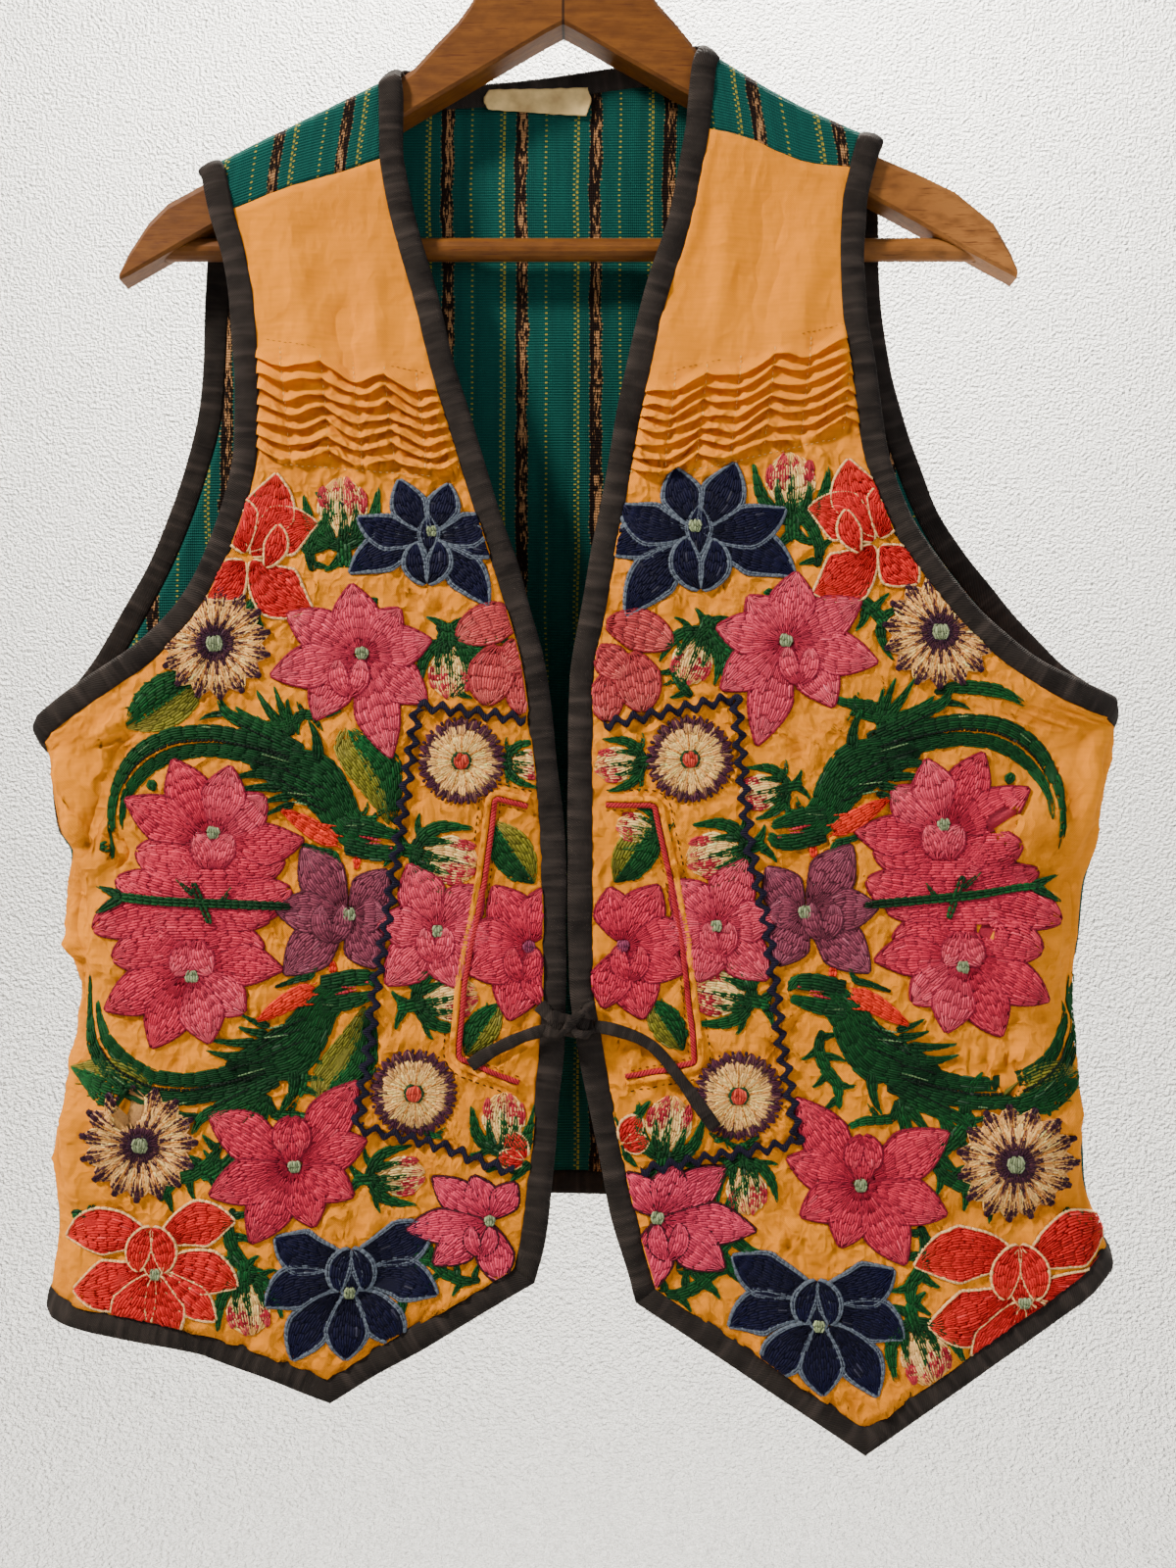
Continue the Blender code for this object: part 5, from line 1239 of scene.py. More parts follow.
PULLS = both("out z out_end z_end spread lift", [
    (70, -198, 66, -236, 7, 0.9), (90, -240, 86, -284, 6, 0.8), (104, -262, 100, -292, 5, -0.8),
    (128, -238, 118, -288, 8, 0.9), (139, -292, 120, -296, 5, 0.8), (96, -345, 99, -358, 3, 1),
    (74, -348, 72, -366, 4, 1), (130, -342, 136, -362, 4, 1), (236, -476, 222, -530, 6, 1.9),
    (226, -540, 228, -600, 5, -1.6), (232, -610, 226, -676, 6, 1.8), (204, -470, 224, -520, 5, -1.4),
    (214, -640, 190, -652, 5, 1.5), (224, -690, 200, -684, 5, -1.3), (240, -560, 224, -566, 4, 1.5),
    (60, -716, 88, -738, 6, 1.4), (118, -752, 96, -742, 5, 1.2), (150, -742, 176, -720, 7, 1.2),
    (182, -444, 212, -462, 5, 1.3), (160, -400, 172, -436, 4, 1), (110, -318, 112, -340, 5, 0.6),
], [
    (60, -196, 54, -240, 7, 0.9), (78, -216, 74, -268, 6, 0.9), (100, -205, 94, -262, 7, -0.9),
    (120, -226, 108, -282, 8, 0.9), (44, -262, 62, -296, 6, 0.8), (88, -346, 92, -360, 4, 1),
    (120, -330, 122, -346, 4, 1), (250, -470, 236, -520, 6, 1.9), (236, -536, 244, -590, 5, -1.6),
    (246, -604, 238, -668, 6, 1.8), (216, -462, 240, -508, 5, -1.4), (240, -640, 214, -652, 5, 1.5),
    (244, -690, 220, -684, 5, -1.3), (252, -556, 236, -562, 4, 1.5), (90, -740, 112, -762, 6, 1.4),
    (150, -774, 134, -760, 5, 1.2), (172, -752, 196, -728, 7, 1.2), (188, -424, 220, -446, 5, 1.3),
])


def cloth_lift(side, girth, z):
    """How far a front's outer face stands over its plain inner surface: tucks, pulls and puckers."""
    share = across_front(side, girth, z)
    below = np.clip((level_z(side, 2, share) - z) / 30, 0, 1)
    near_edge = np.clip(np.minimum(share, 1 - share) / 0.05, 0, 1) ** 0.5
    over = stitched_over(side, girth, z)
    bare = np.clip(1 - over, 0, 1) ** 1.5
    pucker = ripple(girth, z, 11, 3) * (0.1 + 0.5 * below) * bare + ripple(girth, z, 34, 5, 6) * 0.8
    crease = sum(high * np.clip(1 - CREASE_SHARPNESS * np.abs(ripple(girth, z * squeeze, size, seed)), 0, 1)
                 for size, seed, squeeze, high in CREASES) * bare
    crease = crease * (1 - 0.6 * np.clip((share - 0.78) / 0.1, 0, 1))
    pull = (1.2 + 1.6 * bare) * folds(girth, z, PULLS[side])
    return (CLOTH_LIFT + tucks(side, girth, z) * (0.15 + 0.85 * near_edge) + 1.3 * below * over
            + near_edge * (pucker + (0.2 + 0.8 * below) * crease + pull))


def front_surface(side, girth, z, height=0.0):
    """A place on a front's outer face, and its outward normal; height lifts it off the cloth."""
    girth, z = np.broadcast_arrays(np.asarray(girth, float), np.asarray(z, float))
    inner = front_point(side, girth, z)
    normal = outward(lambda g, h: front_point(side, g, h), girth, z, -(inner * [1, 1, 0]))
    points = inner + normal * (cloth_lift(side, girth, z) + height)[..., None]
    points[..., 2] -= TUCK_DROOP * tucks(side, girth, z)
    return points, normal

# %% [markdown]
# ## Ties and knot
# Two bias tapes leave the bindings, cross in a half knot and hang free: the only free lengths.

# %% Ties
def tape(name, path, flat, width, thickness, puckers):
    """A folded tape: a flattened ring of 12 points carried along a path, with small uneven gathers."""
    tangent = unit(np.gradient(path, axis=0))
    side = unit(flat - tangent * np.sum(flat * tangent, axis=-1, keepdims=True))
    angle = 2 * math.pi * np.arange(12) / 12
    across = np.sign(np.cos(angle)) * np.abs(np.cos(angle)) ** 0.6 * width[:, None] / 2
    swell = 1 + puckers * ripple(reach_of(path)[:, None], angle * 2, 7, 4)
    ring = np.stack([across, np.sin(angle) * thickness / 2 * swell], axis=-1)
    return carried(name, path, side, np.cross(side, tangent), ring, charcoal_bias)


def even_path(points, spacing):
    """A path through the points at even steps: a smooth curve of each part against the length along."""
    points = np.asarray(points, float)
    reach = reach_of(points)
    fine = np.linspace(0, reach[-1], 1 + int(round(reach[-1] / spacing)))
    return np.stack([smooth(fine, reach, points[:, i]) for i in range(points.shape[1])], axis=-1)


TAPE_WIDTH = 6.3
TAPE_THICKNESS = 2.0
BACKWARD = np.array([0.0, 1.0, 0.0])
ties, tie_lengths, tie_paths = {}, {}, {}
for side, twist in (("left", 10.0), ("right", 38.0)):
    rows = TIES[side]
    path = even_path(np.stack([rows["x"], rows["y"], rows["z"]], axis=1), 1.4)
    share = np.linspace(0, 1, len(path))
    turn = np.radians(twist * np.sin(share * math.pi) ** 2)[:, None]
    tangent = unit(np.gradient(path, axis=0))
    flat = unit(np.cross(tangent, BACKWARD)) * np.cos(turn) + BACKWARD * np.sin(turn)
    wide = TAPE_WIDTH * (0.90 + 0.14 * share) * (1 + 0.05 * np.sin(share * 17))
    ties[side] = tape(f"tie_{side}_tape", path, flat, wide, TAPE_THICKNESS, 0.16)
    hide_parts("tie_" + side)
    tie_lengths[side] = float(np.linalg.norm(np.diff(path, axis=0), axis=1).sum()) * MM
    tie_paths[side] = [tuple(p) for p in path[::3] * MM] + [tuple(path[-1] * MM)]
print("ties", {k: round(v, 4) for k, v in tie_lengths.items()})

# The knot: the left tape comes up through it, the right one goes round and over.
KNOT = {
    "under": [(-10.5, -31.5, -588.5), (-6.5, -34.2, -592.5), (-2.5, -36.0, -596.5), (1.5, -35.2, -599.5),
              (6.0, -33.6, -600.5), (11.5, -34.3, -598.5), (14.6, -35.2, -597.6)],
    "over": [(12.6, -31.6, -588.0), (11.2, -35.4, -589.5), (8.0, -38.6, -591.6), (4.6, -39.6, -594.8),
             (1.6, -39.2, -598.6), (-1.6, -37.6, -600.8), (-5.0, -35.8, -600.2), (-8.0, -35.2, -599.5)],
    "roll": [(12.8, -34.2, -600.0), (11.2, -37.6, -601.2), (7.2, -39.0, -600.6), (4.6, -38.2, -597.2),
             (6.0, -35.6, -593.2), (9.5, -33.8, -591.2)],
    "core": [(-4.5, -34.2, -594.0), (1.0, -34.6, -594.6), (7.0, -34.8, -596.2), (11.5, -34.4, -598.0)],
}
for name, flat, wide, thick in (("under", (0.35, 0.2, 0.9), 6.8, 2.4), ("over", (0.7, 0.1, 0.45), 6.6, 2.5),
                                ("roll", (0.6, 0.3, 0.7), 5.0, 2.6), ("core", (0.0, 0.3, 1.0), 7.4, 5.5)):
    path = even_path(KNOT[name], 0.8)
    gather = 1 - 0.28 * np.sin(np.linspace(0, 1, len(path)) * math.pi)
    tape("knot_" + name, path, unit(np.array(flat)), wide * gather, thick, 0.12)
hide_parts("tie_knot")

# %% [markdown]
# ## The fronts
# Each front is one panel of gold cotton, here a thin wall with a row of points every millimetre or so
# through the tucks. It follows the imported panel; only its outer face carries the tucks and puckers.

# %% Fronts
FINE = 7  # columns of a front here for one of the solid's
ROW_FINE = 5  # rows for one of the solid's, and so with a tuck's rows and the back's rows and columns
TUCK_FINE = 5
BACK_FINE = 5
INNER_LIFT = 0.1  # the cloth's inner face, off the surface that the solid's inner face follows
# Painted shade and dirt in hollows: so much per mm below the places around, and at most this much.
SHADE_AND_DIRT_PER_MM, MOST_SHADE_AND_DIRT = 0.20, 0.65
HEM_FADE = 1.6  # power by which the levels' rows turn into the pointed hem


def fine_front_grid(side, columns):
    """Girth and height of every point: the cut outline blended between levels, rows down, columns out."""
    levels = FRONT_LEVELS[side]
    counts = levels["rows"] * ROW_FINE
    counts[2] = TUCKS * TUCK_ROWS * TUCK_FINE
    z_edge, z_outer = (np.concatenate([z[:1]] + [blend(z[i - 1], z[i], np.arange(1, n + 1) / n)
                                                 for i, n in enumerate(counts) if i])
                       for z in (levels["z_edge"], levels["z_outer"]))
    edge, outer = front_edge(side, z_edge), front_outer(side, z_outer)
    hem = FRONT_HEM[side]
    share = np.linspace(0, 1, columns + 1)
    point_share = (hem["out"][1] - hem["out"][0]) / (outer[-1] - hem["out"][0])
    hem_share = np.interp(share, [0, HEM_POINT_COLUMN / FRONT_COLUMNS, 1], [0, point_share, 1])
    rows = len(z_edge) - 1
    tuck_end = int(counts[:3].sum())
    below = np.clip((np.arange(rows + 1) - tuck_end) / (rows - tuck_end), 0, 1)[:, None]
    u = blend(share[None, :], hem_share[None, :], below)
    girth = blend(edge[:, None], outer[:, None], u)
    z = blend(z_edge[:, None], z_outer[:, None], u)
    seam_z = smooth(girth[0], YOKE_SEAM[side]["out"], YOKE_SEAM[side]["z"]) - SEAM_GAP
    z = z + np.clip(1 - np.arange(rows + 1) / counts[1], 0, 1)[:, None] * (seam_z - z[0])
    hem_z = straight(girth[-1], np.append(hem["out"][:-1], outer[-1]), hem["z"])
    z = z + below ** HEM_FADE * (hem_z - z[-1])
    return girth, z


fronts = {}
for side in SIDES:
    girth, z = fine_front_grid(side, FRONT_COLUMNS * FINE)
    outer, normal = front_surface(side, girth, z)
    inner = front_point(side, girth, z)
    lift = cloth_lift(side, girth, z)
    hollow = local_mean(lift, 6, 4) - lift  # mm below the places around
    # Painted shade and dirt: the deeper a place lies below those around it, the darker; far less above the
    # tuck band.
    shade_and_dirt = np.clip(SHADE_AND_DIRT_PER_MM * hollow - 0.02, 0, MOST_SHADE_AND_DIRT)
    shade_and_dirt = shade_and_dirt * np.clip((FRONT_LEVELS[side]["z_edge"][1] + 12 - z) / 20, 0.1, 1)
    panel = wall(f"front_{side}_cloth", inner + normal * INNER_LIFT, outer, np.stack([girth, z], axis=-1),
                 gold_cotton, "gold_cotton", shade_and_dirt)
    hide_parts("front_" + side)
    fronts[side] = {"piece": panel, "inner": inner, "normal": normal}

# %% [markdown]
# ## Yokes and back
# Both are ikat cloth. The stripes run up and down the back and, since the yokes are cut crosswise,
# from the front seam over the shoulder to the back seam. The back hangs almost flat.

# %% Yokes and back
YOKE_LEVEL = -150.0  # height at which the shoulders' depth is taken
YOKE_COLUMNS = 48
BACK_FADE = 1.3  # power by which the back's rows leave its top edge and turn into its arched hem


def fine_yoke_grid(side, columns):
    """Inner points, with out and drop along the surface: rows from the front seam over to the back seam."""
    row = YOKE_END_ROW[side]
    share = np.linspace(0, 1, columns + 1)
    out_front, out_ridge, out_back = (blend(YOKE_ENDS[key][row], YOKE_ENDS[key][row + 1], share)
                                      for key in ("front", "ridge", "back"))
    seam_z = smooth(out_front, YOKE_SEAM[side]["out"], YOKE_SEAM[side]["z"])
    seam_drop = (ridge_z(side, out_front) - seam_z) * ridge_cos(side, out_front) - BACK_WALL
    front = -depth("front", YOKE_LEVEL)
    back = depth("back", YOKE_LEVEL)
    bend = np.radians(np.linspace(90, 0, 9))
    inset = YOKE_CORNER * (1 - np.sin(bend))
    turn_drop = YOKE_CORNER * (1 - np.cos(bend))
    rows = [(blend(out_front, blend(out_front, out_ridge, 0.5), part), front + inset[0],
             blend(seam_drop, YOKE_CORNER, part)) for part in np.linspace(0, 1, 13)[:-1]]
    over = np.concatenate([front + inset, back - inset[::-1]])
    for j, (y, drop) in enumerate(zip(over, np.concatenate([turn_drop, turn_drop[::-1]]))):
        way = j / (len(over) - 1)
        out = out_ridge + max(0.5 - way, 0) * (out_front - out_ridge)
        rows.append((out + max(way - 0.3, 0) ** 2 * 2 * (out_back - out_ridge), y, drop))
    behind = rows[-1][0]
    rows += [(blend(behind, out_back, part), back, blend(YOKE_CORNER, YOKE_BACK_DROP - SEAM_GAP, part))
             for part in np.linspace(0, 1, 5)[1:]]
    out, y, drop = (np.array([np.broadcast_to(row[k], share.shape) for row in rows]) for k in range(3))
    return yoke_point(side, out, y, drop)


def fine_back_grid():
    """x and height of every point of the back: rows run down, columns from left to right."""
    seam_columns, neck_columns = BACK_SEAM_COLUMNS * BACK_FINE, BACK_NECK_COLUMNS * BACK_FINE
    seam_left = np.linspace(YOKE_ENDS["back"][1], YOKE_ENDS["back"][0], seam_columns + 1)
    seam_right = np.linspace(YOKE_ENDS["back"][2], YOKE_ENDS["back"][3], seam_columns + 1)
    neck = np.linspace(-YOKE_ENDS["back"][0], YOKE_ENDS["back"][2], neck_columns + 1)[1:-1]
    drop = YOKE_BACK_DROP + SEAM_GAP
    top_x = np.concatenate([-seam_left, neck, seam_right])
    top_z = np.concatenate([yoke_point("left", seam_left, 0.0, drop)[:, 2],
                            smooth(neck, BACK_NECK["x"], BACK_NECK["z"]),
                            yoke_point("right", seam_right, 0.0, drop)[:, 2]])
    ends = {}
    for side, corner in (("left", top_z[0]), ("right", top_z[-1])):
        under = UNDERARM[side]
        z = np.concatenate([np.linspace(corner, under, BACK_ROWS_ABOVE * BACK_FINE + 1),
                            np.linspace(under, SIDE_HEM[side], BACK_ROWS_BELOW * BACK_FINE + 1)[1:]])
        ends[side] = (z, outer_girth(side, z, BACK_ARMHOLE[side], lambda at: math.pi - seam_turn(side, at)))
    (z_left, out_left), (z_right, out_right) = ends["left"], ends["right"]
    out_left[0] = -top_x[0]
    out_right[0] = top_x[-1]
    share_top = (top_x - top_x[0]) / (top_x[-1] - top_x[0])
    down = np.linspace(0, 1, len(z_left))[:, None]
    u = blend(share_top[None, :], np.linspace(0, 1, len(top_x))[None, :], np.clip(down * 2, 0, 1))
    x = blend(-out_left[:, None], out_right[:, None], u)
    z = blend(z_left[:, None], z_right[:, None], u)
    z = z + np.clip(1 - down * 2, 0, 1) ** BACK_FADE * (top_z - z[0])
    hem_x = np.concatenate([[x[-1, 0]], BACK_HEM["x"][1:-1], [x[-1, -1]]])
    z = z + np.clip(down * 2 - 1, 0, 1) ** BACK_FADE * (smooth(x[-1], hem_x, BACK_HEM["z"]) - z[-1])
    return x, z


yokes = {}
STRIPE_START = {"left": 6.0, "right": 15.0}
STRIPE_SLANT = 0.16  # how far the yokes' stripes lean, for each mm of their run
IKAT_THICKNESS = 1.0
for side in SIDES:
    inner = fine_yoke_grid(side, YOKE_COLUMNS)
    middle = np.array([inner[..., 0].mean(), 0.0, inner[..., 2].min() - 60.0])
    normal = grid_normals(inner, middle)
    out = np.abs(inner[..., 0]) / ridge_cos(side, np.abs(inner[..., 0]))
    run = np.concatenate([np.zeros((1, inner.shape[1])),
                          np.cumsum(np.linalg.norm(np.diff(inner, axis=0), axis=-1), axis=0)])
    lift = IKAT_THICKNESS + 0.25 * ripple(out, run, 22, 8)
    cut = np.stack([out + STRIPE_START[side] + run * STRIPE_SLANT, run], axis=-1)
    piece = wall(f"yoke_{side}_cloth", inner + normal * INNER_LIFT, inner + normal * lift[..., None], cut,
                 green_ikat, "green_ikat")
    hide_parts("yoke_" + side)
    yokes[side] = {"piece": piece, "inner": inner, "normal": normal}

x, z = fine_back_grid()
inner = back_point(x, z)
normal = outward(back_point, x, z, -(inner * [1, 1, 0]))
BACK_PULLS = table("x z x_end z_end spread lift", [
    (-95, -235, -104, -430, 9, 1), (-20, -250, -26, -470, 8, 0.9), (30, -240, 44, -430, 8, -0.9),
    (100, -230, 112, -450, 10, 1), (-190, -430, -150, -470, 9, 1.4), (200, -430, 150, -480, 9, 1.4),
    (-160, -560, -120, -640, 10, -1.2), (150, -560, 120, -650, 10, 1.2), (0, -560, 4, -660, 10, 1),
    (-70, -600, -60, -684, 7, 1.1), (84, -600, 76, -690, 7, -1.1), (-225, -560, -180, -556, 7, 1.2),
    (230, -600, 190, -590, 7, -1.2), (60, -200, 10, -190, 8, 0.7), (-60, -200, -10, -196, 8, -0.7),
])
gentle = np.minimum.reduce([np.abs(x - x[:, :1]), np.abs(x[:, -1:] - x), np.abs(z - z[:1])]) / FOLD_FADE
lift = (folds(x, z, BACK_PULLS, along="x") + 0.35 * ripple(x, z, 40, 12)) * np.clip(gentle, 0, 1)
faces = [inner + normal * (lift + off)[..., None] for off in (INNER_LIFT, IKAT_THICKNESS)]
back = {"piece": wall("back_cloth", *faces, np.stack([x, z], axis=-1), green_ikat, "green_ikat"),
        "inner": inner, "normal": normal}
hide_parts("back")

# %% [markdown]
# ### From patches to stitches
# A stitch is a long grain of eight points, pointed at both ends, sunk a little at its sides.

# %% Patches and stitches
ROW_PITCH = 1.3  # from one row of stitches to the next
STITCH_LENGTH = 6.6  # at most; in narrow patches they are shorter
STITCH_HEIGHT, OUTLINE_HEIGHT = 0.46, 0.62
STITCH_SUNK = 0.15
STITCH_OVERLAP, OUTLINE_OVERLAP = 1.12, 1.35  # each stitch's length, in steps from one to the next
OUTLINE_STEP = 3.0
NARROW = 0.45  # share of the full width under which every other row is left out
UNEVEN = 0.16  # rows, and stitches in them, are lighter or darker by up to this share
SHINING = 0.012  # share of the stitches that catch the light
STATIONS = np.array([0.0, 0.2, 0.8, 1.0])  # a stitch's places: pointed at both ends, full in between
PATCH_LIFT = 0.55  # the padding at its highest, and what each layer adds
LAYER_LIFT = 0.32
EDGE_MARGIN = 0.5
DOME_ROWS = 7
DOME_ACROSS = np.array([-1, -0.82, 0, 0.82, 1])
DOME_BELOW = 0.12  # the padding lies so far under the stitches' feet
DOME_RIM = -0.3
# The padding is painted darker than its thread: painted shade for the gaps between the stitches.
PADDING_PAINTED_SHADE = 0.72  # as dark as the floss looks in the gaps between stitches
SMALLEST_DOME = 1.5  # half width of the narrowest padded patch


def margin(side, girth, z):
    """Distance in from the front's nearest edge, about."""
    return np.minimum.reduce([girth - front_edge(side, z), front_outer(side, z) - girth,
                              (z - front_hem(side, girth)) * 0.9])


def clamped(side, girth, z):
    """The same places, moved in where they lie beyond the front's edges."""
    z = np.maximum(z, front_hem(side, girth) + EDGE_MARGIN)
    return np.clip(girth, front_edge(side, z) + EDGE_MARGIN, front_outer(side, z) - EDGE_MARGIN), z


def colour_along(thread, s):
    """Root, middle and tip colours blended along a patch: root x (1 - low) + middle x low x (1 - high) +
    tip x low x high."""
    root, middle, tip = (np.array(linear(c)) for c in THREADS[thread][:3])
    low = np.clip(s / MIDDLE_FROM, 0, 1)[..., None]
    high = np.clip((s - TURNS.get(thread, TIP_FROM)) / TIP_BLEND, 0, 1)[..., None]
    return root * (1 - low) + middle * (low - low * high) + tip * low * high


def lay_patch(rng, place, patch):
    """One patch: its dome's places and heights, and its stitches' four stations each."""
    half, bend, shape, layer, thread = patch[4:]
    size = place["size"]
    if isinstance(shape, tuple):
        length = sum(math.dist(a[:2], b[:2]) for a, b in zip(shape, shape[1:])) * size
    else:
        length = math.hypot(patch[2] - patch[0], patch[3] - patch[1]) * size + abs(bend) * size

    def dome(s, t):
        ends = 1 - (2 * np.clip(s, 0, 1) - 1) ** 6
        return layer * LAYER_LIFT + PATCH_LIFT * min(1, half * size / 4) * ends * (1 - 0.8 * np.abs(t) ** 3)

    dome_rows = DOME_ROWS if length < 60 else 2 * DOME_ROWS
    s, t = np.meshgrid(np.linspace(0.01, 0.99, dome_rows), DOME_ACROSS, indexing="ij")
    rim = (np.abs(t) == 1) | (s == s[0, 0]) | (s == s[-1, 0])
    lift = np.where(rim, DOME_RIM, dome(s, t) - DOME_BELOW)
    # The padding's colour is its thread's, darkened as painted shade in the gaps between the stitches.
    padding = (onto_front(place, patch_place(patch, s, t)[0]), lift, colour_along(thread, s) * PADDING_PAINTED_SHADE,
               half * size > SMALLEST_DOME)

    # Rows of stitches side by side; each row starts and each stitch lies a little out of step. Every
    # other row is left out where the patch is narrow.
    rows = max(int(round(2 * half * size / ROW_PITCH)), 1)
    per_row = max(int(math.ceil(length / min(STITCH_LENGTH, 1.2 + 1.5 * half * size) * 1.08)), 1)
    t = np.repeat((np.arange(rows) + 0.5) / rows * 2 - 1, per_row)
    s0 = np.tile(np.arange(per_row) / per_row, rows)
    s0 = s0 + np.repeat(rng.uniform(-0.5, 0.1, rows), per_row) / per_row
    s0 = s0 + rng.uniform(-0.12, 0.12, len(s0)) / per_row
    s1 = s0 + STITCH_OVERLAP / per_row
    share = share_of(patch, np.clip((s0 + s1) / 2, 0.02, 0.98))
    is_extra = np.repeat(np.arange(rows) % 2 == 1, per_row)
    keep = (s1 > 0.05) & (s0 < 0.95) & ~(is_extra & (share < NARROW))
    s0, s1, t, share = (v[keep] for v in (np.clip(s0, 0, 1), np.clip(s1, 0, 1), t, share))
    width = np.clip(2 * half * size / rows * share, 0.55, 1.3) * 0.60
    shade = rng.uniform(-0.09, 0.09, len(t))
    # Rows differ at random in tone, and are also painted lighter and darker by turns: painted light and
    # shade that makes them read as ribs.
    by_row = rng.uniform(-UNEVEN, UNEVEN, rows) + 0.13 * (-1.0) ** np.arange(rows)
    tone = 1 + np.repeat(by_row, per_row)[keep] + rng.uniform(-UNEVEN, UNEVEN, len(t))
    colour = colour_along(thread, np.clip((s0 + s1) / 2 + shade, 0, 1)) * tone[:, None]
    is_bright = rng.uniform(0, 1, len(t)) < SHINING
    colour[is_bright] = colour[is_bright] * 1.3 + 0.03
    parts = [(s0, s1, t, width, np.full(len(t), STITCH_HEIGHT), colour)]

    edge, edge_width = THREADS[thread][3:5]
    if edge is not None:
        count = max(int(length * 1.15 / OUTLINE_STEP), 2)
        lines = 2 if edge_width > 2 else 1
        start = np.tile(np.arange(count) / count, 2)
        for line in range(lines):
            side_t = np.repeat([-1.0, 1.0], count) * (1.0 - line * 1.1 / max(half * size, 3))
            tint = np.array(linear(edge)) * (1 + rng.uniform(-0.15, 0.15, 2 * count))[:, None]
            wide = np.full(2 * count, edge_width / lines * 0.58)
            tall = np.full(2 * count, OUTLINE_HEIGHT)
            stop = np.minimum(start + OUTLINE_OVERLAP / count, 1)
            parts.append((start, stop, side_t, wide, tall, tint))

    s0, s1, t, width, height, colour = (np.concatenate([part[k] for part in parts]) for k in range(6))
    s = s0[:, None] + (s1 - s0)[:, None] * STATIONS
    t = np.broadcast_to(t[:, None], s.shape)
    return padding, (onto_front(place, patch_place(patch, s, t)[0]), dome(s, t), width, height, colour)


GRAIN_FACES = [(0, 1, 2), (0, 2, 3), (0, 3, 1), (1, 4, 2), (4, 5, 2), (2, 5, 3), (5, 6, 3), (3, 6, 1),
               (6, 4, 1), (4, 7, 5), (5, 7, 6), (6, 7, 4)]


def stitch_mesh(side, at, low, width, height, colour):
    """Points, faces and colours of closed grains on a front: at is (n, 4, 2), low the ground's height."""
    girth = girth_at(side, at[..., 0], at[..., 1])
    keep = margin(side, girth, at[..., 1]).mean(axis=1) > 0.6
    girth, z = clamped(side, girth[keep], at[keep][..., 1])
    spine, normal = front_surface(side, girth, z, low[keep])
    tangent = unit(spine[:, 3] - spine[:, 0] + 1e-6)[:, None]
    aside = unit(np.cross(normal, tangent)) * width[keep][:, None, None]
    up = normal * height[keep][:, None, None]
    sunk = normal * STITCH_SUNK
    grain = np.stack([spine[:, 0] - sunk[:, 0],
                      *(point for i in (1, 2) for point in (
                          spine[:, i] - aside[:, i] - sunk[:, i], spine[:, i] + up[:, i],
                          spine[:, i] + aside[:, i] - sunk[:, i])),
                      spine[:, 3] - sunk[:, 3]], axis=1)
    faces = np.array(GRAIN_FACES)[None] + 8 * np.arange(len(grain))[:, None, None]
    colours = np.repeat(np.clip(colour[keep], 0, 1), 8, axis=0)
    return grain.reshape(-1, 3), faces.reshape(-1, 3), colours


GREENS = {"green", "olive", "feather", "cream", "fleck", "breast", "pale", "hollow"}
UPPER_LEVEL = -585.0  # motifs placed above it and below it are separate pieces


def dome_mesh(side, laid):
    """Points, faces and colours of the padding: domes whose sunk rims are closed by one face beneath."""
    points, faces, colours, count = [], [], [], 0
    for (at, lift, colour, is_padded), _ in laid:
        girth = girth_at(side, at[..., 0], at[..., 1])
        if not is_padded or margin(side, girth, at[..., 1]).max() < 1.0:
            continue
        girth, z = clamped(side, girth, at[..., 1])
        upper, normal = front_surface(side, girth, z, lift)
        rows, columns = upper.shape[:2]
        m = rows // 2  # the middle row tells which way the dome's faces look
        facing = np.dot(np.cross(upper[m + 1, 2] - upper[m, 2], upper[m, 3] - upper[m, 1]), normal[m, 2])
        step = -1 if facing > 0 else 1
        under = (rim_of(rows, columns)[::-1] + count).tolist()
        faces += [one[::step] for one in [*(grid_faces(rows, columns) + count).tolist(), under]]
        points.append(upper.reshape(-1, 3))
        colours.append(colour.reshape(-1, 3))
        count += rows * columns
    return np.concatenate(points), faces, np.concatenate(colours)


for side in SIDES:
    rng = np.random.default_rng(11)
    gathered = {"flowers_upper": [], "flowers_lower": [], "leaves": []}
    for place in placed(side):
        level = "flowers_upper" if place["z"] > UPPER_LEVEL else "flowers_lower"
        for patch in MOTIFS[place["motif"]]:
            gathered["leaves" if patch[8] in GREENS else level].append(lay_patch(rng, place, patch))
    for kind, laid in gathered.items():
        at, low, width, height, colour = (np.concatenate([one[1][k] for one in laid]) for k in range(5))
        points, faces, colours = stitch_mesh(side, at, low, width, height, colour)
        put(f"{kind}_{side}_stitches", points, faces, floss, thread=colours)
        print(side, kind, "patches", len(laid), "stitches", len(faces) // 12)
        points, faces, colours = dome_mesh(side, laid)
        put(f"{kind}_{side}_padding", points, faces, floss, thread=colours)

# %% [markdown]
# ## Bindings
# Every outer edge is bound with bias tape folded over it. The tape is eased round the curves, so it
# puckers, and its width wanders a little. The ends of the hem bindings are mitred to the front ones.

# %% Bindings
def joined(*pieces):
    """Edge points and normals end to end, one point kept where two pieces meet at a seam."""
    path, normal = [pieces[0][0]], [pieces[0][1]]
    for points, normals in pieces[1:]:
        start = int(np.linalg.norm(path[-1][-1] - points[0]) < 1.5)
        path.append(points[start:])
        normal.append(normals[start:])
    return np.concatenate(path), np.concatenate(normal)


